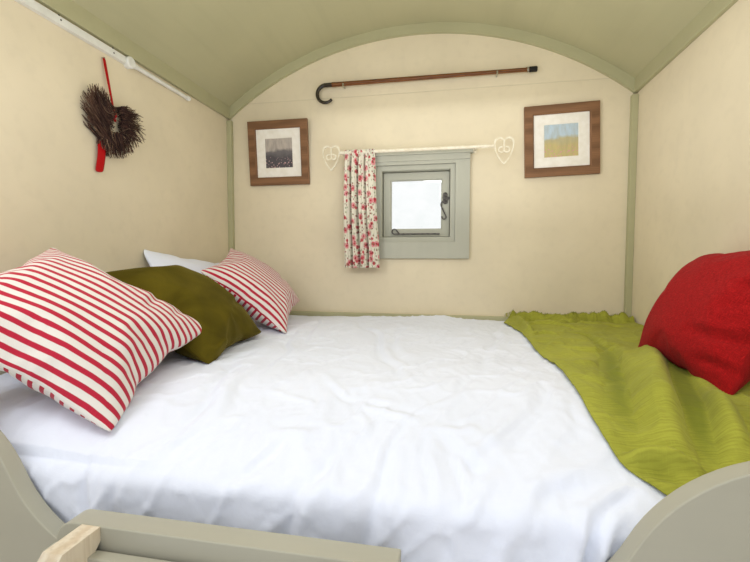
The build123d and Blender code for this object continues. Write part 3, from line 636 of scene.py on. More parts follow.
def bedding_profile(sink_steps=80, edge_steps=30):
    """Y, Z and length run of points down the middle of the bedding."""
    share = np.linspace(0, 1, sink_steps)
    slope = math.atan(sink_power * sink / (sink_from - sink_to))
    radius = (sink_to - duvet_low.y) / (1 - math.sin(slope))
    turn = np.linspace(slope, math.pi / 2, edge_steps)[1:]
    y = [np.array([back_y]), sink_from + (sink_to - sink_from) * share]
    y += [sink_to - radius * (np.sin(turn) - math.sin(slope)), np.array([duvet_low.y])]
    z = [np.array([top_z]), top_z - sink * share**sink_power]
    z += [top_z - sink - radius * (math.cos(slope) - np.cos(turn)), np.array([duvet_low.z])]
    y, z = np.concatenate(y), np.concatenate(z)
    return y, z, np.concatenate([[0], np.cumsum(np.hypot(np.diff(y), np.diff(z)))])


profile_y, profile_z, profile_s = bedding_profile()
full_run = profile_s[-1]


def level_at(s):
    """Height of the even bedding at a distance s from its back edge."""
    return np.interp(s, profile_s, profile_z)


def bedding(s, step=0.004):
    """Y, Z and the outward direction of the bedding at a distance s from its back edge."""
    before, after = np.clip(s - step, 0, full_run), np.clip(s + step, 0, full_run)
    run_y = np.interp(after, profile_s, profile_y) - np.interp(before, profile_s, profile_y)
    run_z = level_at(after) - level_at(before)
    length = np.hypot(run_y, run_z)
    return np.interp(s, profile_s, profile_y), level_at(s), run_z / length, -run_y / length


def run_at(y):
    """Distance from the back edge to a place seen from above."""
    return np.interp(-np.asarray(y), -profile_y, profile_s)


def pixel_ray(u, v):
    return camera_matrix @ Vector((u - photo_width / 2, photo_height / 2 - v, -photo_focal))


def seen_at(u, v, rounds=14):
    """Place across and along the bedding that the photograph shows at a pixel."""
    ray = pixel_ray(u, v)
    level = top_z
    for _ in range(rounds):
        hit = camera_at + ray * ((level - camera_at.z) / ray.z)
        level = (level + float(level_at(run_at(hit.y)))) / 2
    return hit.x, float(run_at(hit.y))


def seen_folds(*folds):
    return [(height, width, [seen_at(*pixel) for pixel in pixels]) for height, width, pixels in folds]


# Folds of the duvet: height and half width in metres, and the pixels of the photograph along each crest
duvet_folds = seen_folds(
    (-0.008, 0.016, [(360, 322), (380, 339), (396, 378), (408, 389)]),
    (-0.006, 0.012, [(394, 325), (402, 348), (408, 372)]),
    (-0.007, 0.016, [(502, 324), (479, 363), (468, 382)]),
    (-0.005, 0.012, [(468, 378), (448, 392), (429, 405)]),
    (0.007, 0.011, [(368, 403), (402, 417), (424, 426)]),
    (0.005, 0.010, [(441, 434), (469, 437), (483, 428)]),
    (-0.007, 0.013, [(447, 440), (464, 457), (486, 473), (509, 465)]),
    (-0.008, 0.018, [(509, 465), (528, 440), (545, 389)]),
    (-0.008, 0.011, [(413, 426), (396, 451), (368, 485), (346, 518)]),
    (-0.006, 0.010, [(433, 440), (419, 473), (408, 501)]),
    (-0.006, 0.010, [(453, 451), (454, 476), (450, 501)]),
    (0.005, 0.009, [(368, 409), (374, 428), (366, 440)]),
    (-0.008, 0.012, [(357, 428), (326, 462), (293, 496), (270, 520)]),
    (-0.007, 0.013, [(276, 445), (242, 473), (206, 490)]),
    (0.006, 0.012, [(256, 440), (304, 437), (323, 431)]),
    (-0.008, 0.016, [(242, 355), (217, 386), (187, 424), (156, 466)]),
    (0.007, 0.013, [(262, 362), (232, 392), (205, 420)]),
    (-0.007, 0.012, [(102, 443), (90, 468), (79, 490)]),
    (0.006, 0.012, [(130, 440), (118, 462), (100, 488)]),
    (0.013, 0.018, [(587, 462), (537, 501), (481, 543), (440, 570)]),
    (-0.009, 0.014, [(575, 487), (532, 522), (500, 552)]),
    (0.012, 0.013, [(618, 470), (604, 501), (593, 529), (570, 562)]),
    (0.010, 0.012, [(637, 493), (618, 528), (598, 562)]),
    (-0.008, 0.011, [(628, 488), (608, 520), (592, 552)]),
    (-0.006, 0.012, [(321, 319), (312, 336), (296, 352)]),
    (-0.006, 0.012, [(300, 330), (280, 352), (250, 378)]),
    (0.006, 0.011, [(210, 402), (178, 440), (150, 470)]),
    (-0.007, 0.014, [(250, 500), (210, 505), (160, 500)]),
    (0.006, 0.010, [(520, 420), (490, 450), (450, 470)]),
    (-0.006, 0.012, [(570, 400), (566, 430), (552, 462)]),
    (0.007, 0.012, [(440, 520), (470, 500), (500, 470)]),
    (-0.005, 0.010, [(330, 385), (352, 398), (370, 402)]),
    (0.004, 0.009, [(400, 390), (426, 388), (452, 378)]),
)


# Where cushions press into the duvet: place across, place along Y, depth and reach
pressed = [(-0.47, -1.37, 0.010, 0.10), (-0.46, -0.53, 0.008, 0.07), (0.79, -1.05, 0.010, 0.09)]
# Soft hills of the duvet's filling and of the throw: height, breadth and seed
duvet_hills = [(0.006, 0.34, 1), (0.0035, 0.13, 2)]
throw_hills = [(0.005, 0.15, 11), (0.003, 0.06, 12)]
# Heights of the hump against the end wall, of the duvet's creases and of its fine ones, and how they wander
hump_height, crease_height, fine_height, wander = 0.020, 0.0042, 0.0021, 0.03
# How near its front and back edges the duvet grows even, and how broad its creases and its fine ones are
front_even, back_even, crease_broad, fine_broad = 0.05, 0.03, 0.12, 0.05
# Where the front pillow props the duvet up as it sinks, and how wide and long that place is
prop_x, prop_y, prop_wide, prop_long = -0.62, -1.32, 0.22, 0.10


def layered(x, s, layers):
    return sum(height * hills(x, s, breadth, seed) for height, breadth, seed in layers)


def duvet_lift(x, s):
    """How far the duvet stands off its even shape: soft filling, folds and small creases."""
    edge = np.clip((full_run - s) / front_even, 0, 1) * np.clip(s / back_even, 0.5, 1)
    warp_x = x + wander * hills(x, s, 0.16, 4)
    warp_s = s + wander * hills(x, s, 0.16, 5)
    hump = hump_height * bell(s, 0.11) * bell(x - 0.06, 0.28)
    filling = layered(x, s, duvet_hills) + hump * (1 + hills(x, s, 0.07, 8) * 0.4)
    creases = 1 - np.abs(hills(warp_x * 2.2 + warp_s, warp_s - warp_x * 0.4, crease_broad, 3)) * 2
    fine = 1 - np.abs(hills(warp_x * 3 - warp_s, warp_s * 0.7 + warp_x * 0.5, fine_broad, 6)) * 2
    small = crease_height * np.clip(creases, 0, 1) ** 2 + fine_height * np.clip(fine, 0, 1) ** 2
    lift = edge * (filling + small + fold_heights(warp_x, warp_s, duvet_folds))
    propped = bell(x - prop_x, prop_wide) * bell(s - run_at(prop_y), prop_long)
    lift += 0.7 * propped * (top_z - level_at(s)) * (s < run_at(sink_to))
    for place_x, place_y, depth, reach in pressed:
        lift -= depth * bell(np.hypot(x - place_x, s - back_y + place_y), reach)
    return lift


def on_bedding(x, s, lift):
    """Points on the bedding, raised by lift along its outward direction."""
    y, z, out_y, out_z = bedding(s)
    return np.stack([x, y + out_y * lift, z + out_z * lift], -1)


def lay_duvet(columns=300, rows=290, thickness=0.044, edge_radius=0.03):
    """The duvet: its creased top, rounded sides and an even underside that spans it strip by strip."""
    across = np.linspace(duvet_low.x, duvet_high.x, columns)
    x, s = np.meshgrid(across, np.linspace(0, full_run, rows))
    rim = np.minimum(np.abs(x - duvet_low.x), np.abs(x - duvet_high.x))
    inwards = np.clip(rim / edge_radius, 0, 1)
    rounding = thickness / 2 * (1 - np.sqrt(np.clip(1 - (1 - inwards) ** 2, 0, 1)))
    top = on_bedding(x, s, duvet_lift(x, s) - rounding).reshape(-1, 3)
    under = on_bedding(x, s, rounding - thickness).reshape(-1, 3)
    faces = weave_grid(rows, columns, flip=True)
    last_row = (rows - 1) * columns
    rim_line = list(range(columns)) + [i * columns + columns - 1 for i in range(1, rows)]
    rim_line += [last_row + j for j in range(columns - 2, -1, -1)]
    rim_line += [i * columns for i in range(rows - 2, 0, -1)]
    below = {point: len(top) + k for k, point in enumerate(rim_line)}
    for a, b in zip(rim_line, rim_line[1:] + rim_line[:1]):
        faces.append((a, b, below[b], below[a]))
    for i in range(rows - 1):
        near = [i * columns, (i + 1) * columns - 1]
        far = [(i + 2) * columns - 1, (i + 1) * columns]
        if i == 0:
            near = list(range(columns))
        if i == rows - 2:
            far = list(range(rows * columns - 1, last_row - 1, -1))
        faces.append([below[point] for point in near + far])
    made = piece("bed_duvet", np.vstack([top, under[rim_line]]), faces, "white_linen")
    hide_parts("duvet")
    return made


lay_duvet()

# The throw: pixels of the photograph along its left edge and, with height and half width, along its folds
edge_pixels = [(503, 313), (504, 325), (520, 334), (537, 354), (563, 375), (579, 398)]
edge_pixels += [(591, 420), (606, 446), (619, 466), (639, 482), (655, 492)]
throw_edge = [(0.408, 0.0)] + [seen_at(*pixel) for pixel in edge_pixels] + [(0.62, 1.50), (0.80, 1.58)]
throw_rolls = [
    (0.024, 0.013, [(0.40, 0.024), (0.48, 0.030), (0.58, 0.040), (0.70, 0.062)]),
    (0.030, 0.014, [(0.62, 0.028), (0.74, 0.026), (0.86, 0.032), (1.06, 0.040)]),
]
throw_folds = throw_rolls + seen_folds(
    (-0.010, 0.012, [(512, 325), (545, 324), (585, 328), (630, 331)]),
    (0.011, 0.008, [(518, 330), (550, 329), (582, 334)]),
    (0.010, 0.008, [(530, 340), (545, 339), (560, 343)]),
    (-0.009, 0.012, [(560, 336), (585, 340), (608, 357)]),
    (0.008, 0.012, [(560, 352), (590, 356), (625, 352)]),
    (-0.026, 0.026, [(606, 350), (614, 378), (622, 410), (630, 446)]),
    (0.030, 0.030, [(648, 356), (658, 392), (668, 432), (684, 476)]),
    (-0.026, 0.022, [(674, 368), (690, 400), (700, 440), (706, 478)]),
    (0.020, 0.009, [(506, 316), (512, 322), (522, 329), (534, 340)]),
    (-0.012, 0.010, [(525, 321), (540, 327), (560, 328), (590, 322)]),
    (0.014, 0.022, [(712, 398), (726, 425), (738, 458)]),
    (0.016, 0.010, [(620, 463), (642, 466), (664, 467), (688, 475), (708, 482)]),
    (-0.012, 0.012, [(632, 474), (655, 478), (680, 488)]),
    (0.007, 0.010, [(575, 380), (600, 388), (625, 384)]),
    (0.006, 0.009, [(600, 418), (622, 421), (645, 415)]),
)
# The throw's clearance from the duvet, how far it lies above it, how deep it may sink, and its steeper folds
throw_gap, throw_lies, throw_sinks, fold_gain = 0.0025, 0.008, -0.007, 1.4


def throw_lift(x, s):
    """How far the throw stands off the even bedding, with its bunched end by the wall."""
    bunched = 0.016 * bell(s - 0.035, 0.02) * np.clip((x - 0.6) / 0.1, 0, 1)
    own = layered(x, s, throw_hills) + fold_gain * fold_heights(x, s, throw_folds)
    own += bunched * hills(x * 2, s, 0.05, 13)
    return duvet_lift(x, s) + throw_gap + throw_lies + np.maximum(own, throw_sinks)


def throw_left(s):
    """Where the throw's left edge lies at a distance s from the back."""
    return np.interp(s, [p[1] for p in throw_edge], [p[0] for p in throw_edge])


def bed_surface(x, y):
    """Level of whatever lies on the bed at a place seen from above."""
    s = run_at(y)
    return level_at(s) + np.where(x > throw_left(s), throw_lift(x, s), duvet_lift(x, s))


def lay_throw(columns=144, rows=320, short_of_edge=0.04, edge_roll=0.02, deep_fold=0.024, fringe_strands=120):
    """The throw, laid over the duvet from the end wall to the bed front, with its fringe by the wall and
    painted shade noted in the hollows of its folds.
    """
    run = full_run - short_of_edge
    along = np.linspace(0.004, run, rows)
    left = throw_left(along)[:, None]
    share = np.linspace(0, 1, columns)
    x = left + (throw_high.x - left) * share[None, :]
    s = np.repeat(along[:, None], columns, 1)
    lift = throw_lift(x, s)
    curl = np.clip(1 - (x - left) / edge_roll, 0, 1)
    lift = lift - curl**2 * (lift - duvet_lift(x, s) - throw_gap) * 0.7
    points = on_bedding(x, s, lift).reshape(-1, 3)
    # Painted shade: how deep each point lies in a fold's hollow, full at deep_fold, which the throw's
    # material darkens
    depth = np.clip(-fold_heights(x, s, throw_folds) / deep_fold, 0, 1)
    notes = {"weave": np.stack([x, s, 0 * x], -1), "hollow": np.stack([depth, 0 * x, 0 * x], -1)}
    made = piece("green_throw", points, weave_grid(rows, columns, flip=True), "green_throw", notes=notes)
    settle(made, thickening(0.0035, 1.0))
    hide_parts("throw")
    lines = [throw_strand(spot) for spot in np.linspace(0.43, 0.955, fringe_strands)]
    fringe = strands("throw_fringe", "green_throw", lines, 0.0012)
    return made


def ring(middle, ahead, radius, sides):
    """Points of a circle round a middle, square to the way ahead."""
    across = ahead.orthogonal().normalized()
    up = ahead.cross(across)
    turns = [2 * math.pi * k / sides for k in range(sides)]
    return [middle + (across * math.cos(turn) + up * math.sin(turn)) * radius for turn in turns]


def join_rings(points, faces, rings):
    """Adds a closed round body to points and faces: its rings joined in order, and both ends capped."""
    first, sides = len(points), len(rings[0])
    for circle in rings:
        points += circle
    for start in range(first, len(points) - sides, sides):
        for k in range(sides):
            a, b = start + k, start + (k + 1) % sides
            faces.append((a, b, b + sides, a + sides))
    faces.append(tuple(range(first, first + sides))[::-1])
    faces.append(tuple(range(len(points) - sides, len(points))))


def strands(name, slot, lines, thickness, sides=4, thinning=0.45):
    """Many thin round strands, each following its own line of points and thinner at its end."""
    points, faces, notes = [], [], []
    for line in lines:
        line = [Vector(p) for p in line]
        own, last = chance.random(), len(line) - 1
        rings = []
        for k, spot in enumerate(line):
            ahead = (line[min(k + 1, last)] - line[max(k - 1, 0)]).normalized()
            rings.append(ring(spot, ahead, thickness * (1 - thinning * k / len(line)), sides))
            notes += [(own, k / last, 0)] * sides
        join_rings(points, faces, rings)
    return piece(name, points, faces, slot, notes={"strand": notes})


def throw_strand(x, steps=4):
    """One strand of the fringe, curling over the rolled end of the throw."""
    start = 0.012 + chance.uniform(0, 0.008)
    reach = chance.uniform(0.03, 0.05)
    drift = chance.uniform(-0.012, 0.012)
    line = []
    for step in range(steps + 1):
        t = step / steps
        s = np.array([start + reach * t])
        across = np.array([x + drift * t**2])
        lift = float(throw_lift(across, s)[0]) + 0.004 + 0.004 * math.sin(3 * t)
        line.append(on_bedding(across, s, lift)[0])
    return line


lay_throw()


def pad_frame(across, normal):
    """Directions of a leaning pad: along it, up its slope and out of its face."""
    out = Vector(normal).normalized()
    along = Vector(across)
    along = (along - out * along.dot(out)).normalized()
    return np.array([along, out.cross(along), out])


def pad_blank(name, length, width, loft, cells):
    """Two panels joined round their edge, hardly filled, and which point stands where on each panel."""
    points, weave, index = [], [], {}
    steps = np.linspace(-1, 1, cells + 1)
    for side in (1, -1):
        for i, u in enumerate(steps):
            for j, v in enumerate(steps):
                rim = i in (0, cells) or j in (0, cells)
                if rim and side == -1:
                    index[side, i, j] = index[1, i, j]
                    continue
                index[side, i, j] = len(points)
                crown = (1 - u**2) ** 0.5 * (1 - v**2) ** 0.5
                points.append((u * length / 2, v * width / 2, side * loft * crown))
                weave.append((u * length / 2, v * width / 2, 0 if rim else side))
    counted = range(cells + 1)
    grid = np.array([[[index[side, i, j] for j in counted] for i in counted] for side in (1, -1)])
    faces = []
    for side, panel in zip((1, -1), grid):
        for i in range(cells):
            for j in range(cells):
                face = [panel[i, j], panel[i + 1, j], panel[i + 1, j + 1], panel[i, j + 1]]
                faces.append(face[::side])
    mesh = bpy.data.meshes.new(name)
    mesh.from_pydata(points, [], faces)
    keep_places(mesh, "weave", weave)
    return put(name, mesh), grid


# Each pad: finish, way along it, way its face looks, length, width, half thickness, fill, how far it settles
# from the middle of its solid, and how square its corners are
pads = {
    "front_pillow": (
        "white_linen", (0, 1, -0.05), (0.8, 0, 0.6), 0.52, 0.36, 0.07, 0.4, (-0.012, 0.05, -0.05), 9
    ),
    "rear_pillow": (
        "white_linen", (0, 1, -0.13), (0.8, 0, 0.6), 0.60, 0.39, 0.07, 0.4, (0, 0.0, 0.012), 9
    ),
    "near_striped_cushion": (
        "red_stripe", (-0.14, 0.94, 0.29), (0.545, -0.17, 0.82), 0.465, 0.475, 0.088, 0.7,
        (-0.012, 0, -0.034), 40
    ),
    "olive_cushion": (
        "olive_velvet", (-0.11, 0.99, 0.04), (0.6, 0.03, 0.8), 0.445, 0.43, 0.092, 0.6,
        (0, -0.045, -0.001), 12
    ),
    "far_striped_cushion": (
        "red_stripe", (-0.22, 0.95, 0.23), (0.66, -0.02, 0.75), 0.43, 0.41, 0.080, 0.7,
        (0.006, 0.004, -0.002), 40
    ),
    "red_cushion": (
        "red_wool", (-0.05, 0.99, 0.06), (-0.86, -0.08, 0.5), 0.43, 0.40, 0.088, 0.65, (0.012, 0, -0.012), 14
    ),
}
# Corners that slump or are drawn out: which end along and across, how far along and across, and how locally
pad_tugs = {
    "rear_pillow": [(1, 1, 0, -0.02, 2)],
    "near_striped_cushion": [(1, -1, 0.014, -0.010, 6), (-1, -1, -0.004, 0, 6), (1, 1, 0.004, 0.008, 6)],
    "far_striped_cushion": [(1, -1, 0.008, -0.004, 6), (1, 1, 0.006, 0.006, 6)],
    "olive_cushion": [(1, 1, -0.02, -0.02, 2), (1, -1, 0.008, -0.006, 6), (-1, -1, 0, -0.008, 6)],
    "red_cushion": [(1, -1, 0.014, 0.055, 2)],
}
# Creases over a pad's face: height, half width, and places along and up it
pad_creases = {
    "red_cushion": [
        (-0.016, 0.011, [(-0.25, 0.03), (-0.16, 0.07), (-0.07, 0.08)]),
        (-0.018, 0.010, [(-0.25, -0.10), (-0.18, -0.06), (-0.11, -0.05)]),
        (-0.010, 0.010, [(-0.25, 0.14), (-0.17, 0.13), (-0.10, 0.14)]),
    ],
    "near_striped_cushion": [
        (-0.007, 0.010, [(0.24, -0.10), (0.16, -0.09), (0.08, -0.11)]),
        (-0.006, 0.009, [(0.24, -0.17), (0.17, -0.15), (0.12, -0.16)]),
        (-0.006, 0.010, [(-0.10, -0.25), (-0.09, -0.17), (-0.12, -0.10)]),
    ],
    "olive_cushion": [
        (0.010, 0.008, [(-0.05, -0.22), (-0.10, -0.19), (-0.16, -0.19), (-0.21, -0.16)]),
        (-0.008, 0.012, [(0.22, -0.12), (0.14, -0.08), (0.06, -0.10)]),
    ],
    "far_striped_cushion": [(-0.007, 0.010, [(0.22, -0.10), (0.14, -0.06), (0.05, -0.08)])],
}
# How the pads are blown up, how much of the gathering shows, how full they are and how flat at their corners
pad_cells, sim_frames, pad_pressure = 50, 20, 4.0
pinch, fullness, corner_taper = 0.42, 0.72, 0.86
pad_cloth = {
    "quality": 6,
    "mass": 0.25,
    "tension_stiffness": 14,
    "compression_stiffness": 14,
    "shear_stiffness": 6,
    "bending_stiffness": 0.6,
    "use_pressure": True,
    "uniform_pressure_force": pad_pressure,
}


def fill_pads():
    """Blows the slack pads up with Blender's cloth, all in one run, and gives their points."""
    blanks = {}
    slackness = 0.35
    for name, (_, _, _, length, width, loft, *_) in pads.items():
        blank, grid = pad_blank(name + "_blank", length, width, loft * slackness, pad_cells)
        blanks[name] = blank, grid
        cloth_filling = blank.modifiers.new("filling", "CLOTH")
        for key, value in pad_cloth.items():
            setattr(cloth_filling.settings, key, value)
        cloth_filling.settings.effector_weights.gravity = 0
        cloth_filling.point_cache.frame_start = 1
        cloth_filling.point_cache.frame_end = sim_frames
    for step in range(1, sim_frames + 1):
        scene.frame_set(step)
    for blank, _ in blanks.values():
        settle(blank)
    scene.frame_set(1)
    return blanks


def rest_on_bed(points, gap=0.001, past_edge=0.06, wall_gap=0.03):
    """Lifts what would lie in the bedding or a wall to just clear of it."""
    level = bed_surface(points[:, 0], points[:, 1]) + gap
    raised = np.maximum(points[:, 2], level)
    points[:, 2] = np.where(points[:, 1] < duvet_low.y - past_edge, points[:, 2], raised)
    points[:, 0] = np.clip(points[:, 0], gap - wall_half, wall_half - gap)
    points[:, 1] = np.minimum(points[:, 1], -wall_gap)
    return points


def square_up(spots, length, width, roundness):
    """Draws a pad's outline in, from a square to a softer shape with rounded corners."""
    u, v = spots[:, 0] * 2 / length, spots[:, 1] * 2 / width
    largest = np.maximum(np.abs(u), np.abs(v))
    even = (np.abs(u) ** roundness + np.abs(v) ** roundness + 1e-9) ** (1 / roundness)
    spots[:, :2] *= (np.where(even > 0.02, largest / even, 1) ** (largest**2))[:, None]
    return u, v


def measure_weave(spots, weave, grid):
    """Notes on each panel how far its threads really run from its middle, along it and across it."""
    for panel in grid:
        for axis in (0, 1):
            steps = np.linalg.norm(np.diff(spots[panel], axis=axis), axis=2)
            run = np.insert(np.cumsum(steps, axis), 0, 0, axis)
            weave[panel, axis] = run - run.take([run.shape[axis] // 2], axis)


def lay_pads():
    """Shapes each filled pad, turns it to its place on its solid and rests it on the bedding."""
    for name, (blank, grid) in fill_pads().items():
        slot, across, normal, length, width, loft, fill, settled, roundness = pads[name]
        spots = read_places(blank.data.vertices, "co")
        spots *= np.array([length, width, 2 * loft]) / (spots.max(0) - spots.min(0))
        weave = read_places(blank.data.attributes["weave"].data, "vector")
        spots[:, :2] = weave[:, :2] + pinch * (spots[:, :2] - weave[:, :2])
        spots[:, 2] = np.sign(spots[:, 2]) * loft * np.abs(spots[:, 2] / loft) ** fullness
        spots[:, 2] *= 1 - corner_taper * np.abs(weave[:, 0] * weave[:, 1] * 4 / length / width) ** 2
        creases = fold_heights(weave[:, 0], weave[:, 1], pad_creases.get(name, []))
        spots[:, 2] += np.where(weave[:, 2] > 0, creases, 0)
        u, v = square_up(spots, length, width, roundness)
        for end_u, end_v, along, up, power in pad_tugs.get(name, []):
            near = np.clip((1 + end_u * u) / 2, 0, 1) * np.clip((1 + end_v * v) / 2, 0, 1)
            spots[:, :2] += near[:, None] ** power * np.array((along, up))
        measure_weave(spots, weave, grid)
        low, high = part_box(name)
        middle = np.array((low + high) / 2) + settled
        points = rest_on_bed(middle + spots @ pad_frame(across, normal))
        faces = [tuple(p.vertices) for p in blank.data.polygons]
        made = piece(name + "_filled", points, faces, slot, notes={"weave": weave})
        settle(made, smoothing)
        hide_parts(name)
        bpy.data.objects.remove(blank)


lay_pads()


def mattress_shape(voxel=0.016, tuft_depth=0.006, tuft_waves=21):
    """The mattress, soft at its edges, tufted on top and sunk with the bedding towards the bed front."""
    mattress_low, mattress_high = (corner.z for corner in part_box("mattress"))
    made = dressed("mattress", 0.0)
    settle(made, ("REMESH", {"mode": "VOXEL", "voxel_size": voxel}))
    for point in made.data.vertices:
        x, y = point.co.x, point.co.y
        dent = tuft_depth * (0.5 + 0.5 * math.cos(x * tuft_waves)) * (0.5 + 0.5 * math.cos(y * tuft_waves))
        point.co.z -= dent if point.co.z > duvet_low.z else -dent * 0.2
        sunk = top_z - float(level_at(run_at(max(y, duvet_low.y))))
        rise = max(0.0, (point.co.z - mattress_low) / (mattress_high - mattress_low))
        point.co.z -= min(sunk, sink) * rise
    made.data.materials.clear()
    made.data.materials.append(looks["ticking"])
    made.data.polygons.foreach_set("use_smooth", [True] * len(made.data.polygons))
    return made


mattress_shape()


# The curtain's cut width, and the shares of its width at which its deep valleys lie
curtain_cut = 0.36
curtain_valleys = (0.0, 0.21, 0.44, 0.67, 1.0)
# Depth of a valley inside the curtain and of one at its side, each with its breadth as a share of the width
inner_valley, side_valley = (0.042, 0.026), (0.016, 0.05)


def curtain_depth(across, z, drift):
    """How far back the curtain's valleys lie at a height, over its width."""
    depth = np.zeros_like(across)
    for k, valley in enumerate(curtain_valleys):
        inner = 0 < valley < 1
        deep, broad = inner_valley if inner else side_valley
        place = valley + (drift * (1 if k != 2 else -0.6) if inner else 0)
        sunk = deep * (0.8 + 0.2 * math.sin(7 * z + 2 * k))
        depth += sunk * np.exp(-np.abs((across - place) / broad) ** 1.6)
    return depth


def hang_curtain(columns=261, rows=110, over_pole=0.004, pocket_hem=0.012, clearance=0.003, neck=0.07):
    """One gathered curtain: up in front of the pole, over it, and down behind to its stitched pocket.

    At each height, hang rises from 0 at the pole to 1 where the cloth hangs free, a neck's length below.
    """
    low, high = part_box("curtain")
    pole_low, pole_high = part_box("curtain_pole")
    pole = (pole_low + pole_high) / 2
    radius = pole_high.z - pole.z
    top = pole_high.z + over_pole
    front_run = top - low.z
    back_run = over_pole + 2 * radius + pocket_hem
    across = np.linspace(0, 1, columns)
    points, weave = [], []
    for i in range(rows):
        run = (front_run + back_run) * i / (rows - 1)
        front = run <= front_run
        z = low.z + run if front else top - (run - front_run)
        hang = min(1.0, max(0.0, (pole.z + 0.01 - z) / neck))
        pocket = math.exp(-(((z - pole.z) / (radius * 1.6)) ** 4))
        drift = 0.012 * math.sin(9 * z) + 0.02 * (top - z) / front_run
        depth = curtain_depth(across, z, drift)
        crowns = -0.004 * np.sin(2 * np.pi * 9 * across + 3 * z)
        gathers = 0.0024 * (1 - 0.8 * hang) * np.sin(2 * np.pi * 17 * across + 1.3 * np.sin(7 * across))
        y = pole.y - 0.010 * hang + depth * hang + 0.35 * depth * (1 - hang) + crowns * hang + gathers
        y = y if front else pole.y + clearance + gathers
        y += (-1 if front else 1) * ((radius + clearance) * pocket * (1 - hang) + 0.0015)
        left = low.x + 0.004 - 0.006 * hang
        wide = high.x - low.x - 0.020 + 0.026 * min(1, (top - z) / front_run * 1.3)
        x = left + wide * across + 0.003 * hang * np.sin(11 * z)
        y = np.clip(y, low.y - 0.004, high.y)
        points += [(u, v, z) for u, v in zip(x, y)]
        weave += [(t * curtain_cut, run, 0) for t in across]
    faces = weave_grid(rows, columns)
    made = piece("gathered_curtain", points, faces, "curtain_cloth", notes={"weave": weave})
    settle(made, thickening(0.0009))
    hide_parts("curtain")
    return made


hang_curtain()


def on_wall(u, v, x):
    """Place along and up a side wall, standing at X, that the photograph shows at a pixel."""
    ray = pixel_ray(u, v)
    hit = camera_at + ray * ((x - camera_at.x) / ray.x)
    return hit.y, hit.z


# The twig heart as three brushes. Each has its share of the twigs and the pixels of the photograph along the
# line that its twigs start on, the waist that they bend round and the tips that they fan out to.
heart_brushes = [
    (
        0.45,
        [(116, 151), (110, 138), (112, 120), (114, 108)],
        [(105, 143), (101, 121), (105, 105)],
        [(91, 126), (90, 117), (88, 105), (90, 96), (94, 90), (100, 92), (107, 99)],
    ),
    (
        0.31,
        [(117, 107), (121, 117), (121, 133)],
        [(124, 107), (129, 118), (129, 136)],
        [(123, 106), (132, 111), (138, 118), (140, 128), (139, 139), (132, 146)],
    ),
    (
        0.24,
        [(104, 124), (112, 133), (121, 133)],
        [(100, 139), (113, 143), (127, 139)],
        [(101, 143), (107, 152), (116, 156), (124, 155), (130, 150)],
    ),
]


def along_line(line, share):
    """The place that lies at a share of a line of points."""
    spots = np.linspace(0, 1, len(line))
    return [float(np.interp(share, spots, [p[k] for p in line])) for k in (0, 1)]


# How widely the twigs of a brush stray from its start, its waist and its tips
heart_stray = (0.14, 0.10, 0.05)
# How unevenly a twig itself grows, out of the wall's plane, along it and up it
knobbly = (0.0006, 0.0009, 0.0009)


def bind_heart(count=1150, steps=5):
    """The twig heart: short brushes of fine twigs that fan outwards round a small opening."""
    low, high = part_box("twig_heart")
    face = (low.x + high.x) / 2
    shares = [share for share, *_ in heart_brushes]
    brushes = [[[on_wall(u, v, face) for u, v in line] for line in lines] for _, *lines in heart_brushes]
    twigs = []
    for _ in range(count):
        brush = chance.choices(brushes, shares)[0]
        share = chance.random()
        begin, bend, tip = (
            along_line(line, min(1, max(0, share + chance.gauss(0, stray))))
            for line, stray in zip(brush, heart_stray)
        )
        from_t = chance.choice((chance.uniform(-0.06, 0.10), chance.uniform(0.1, 0.6)))
        to_t = min(1.1, from_t + chance.uniform(0.45, 1.0))
        deep = (high.x - low.x) * 0.42 * chance.uniform(-1, 1)
        twig = []
        for step in range(steps + 1):
            t = from_t + (to_t - from_t) * step / steps
            y, z = (begin[k] * (1 - t) ** 2 + bend[k] * 2 * t * (1 - t) + tip[k] * t**2 for k in (0, 1))
            x = min(max(face + deep * (0.7 + 0.3 * t), low.x + 0.001), high.x)
            twig.append([value + chance.gauss(0, stray) for value, stray in zip((x, y, z), knobbly)])
        twigs.append(twig)
    made = strands("twig_bundles", "twigs", twigs, 0.0012)
    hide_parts("twig_heart")


bind_heart()


def ribbon_strip(name, line, half_width, across):
    """A flat satin strip along a line of points."""
    half = Vector(across) * half_width
    points = [Vector(spot) + side * half for spot in line for side in (-1, 1)]
    made = piece(name, points, weave_grid(len(line), 2), "red_ribbon")
    return settle(made, thickening(0.0008), smoothing)


# Half widths of the ribbon where it hangs, in its knot and in its tail, and how far its two strands lie apart
ribbon_hanging, ribbon_knotted, ribbon_loose, ribbon_apart = 0.0042, 0.0055, 0.0145, 0.0024


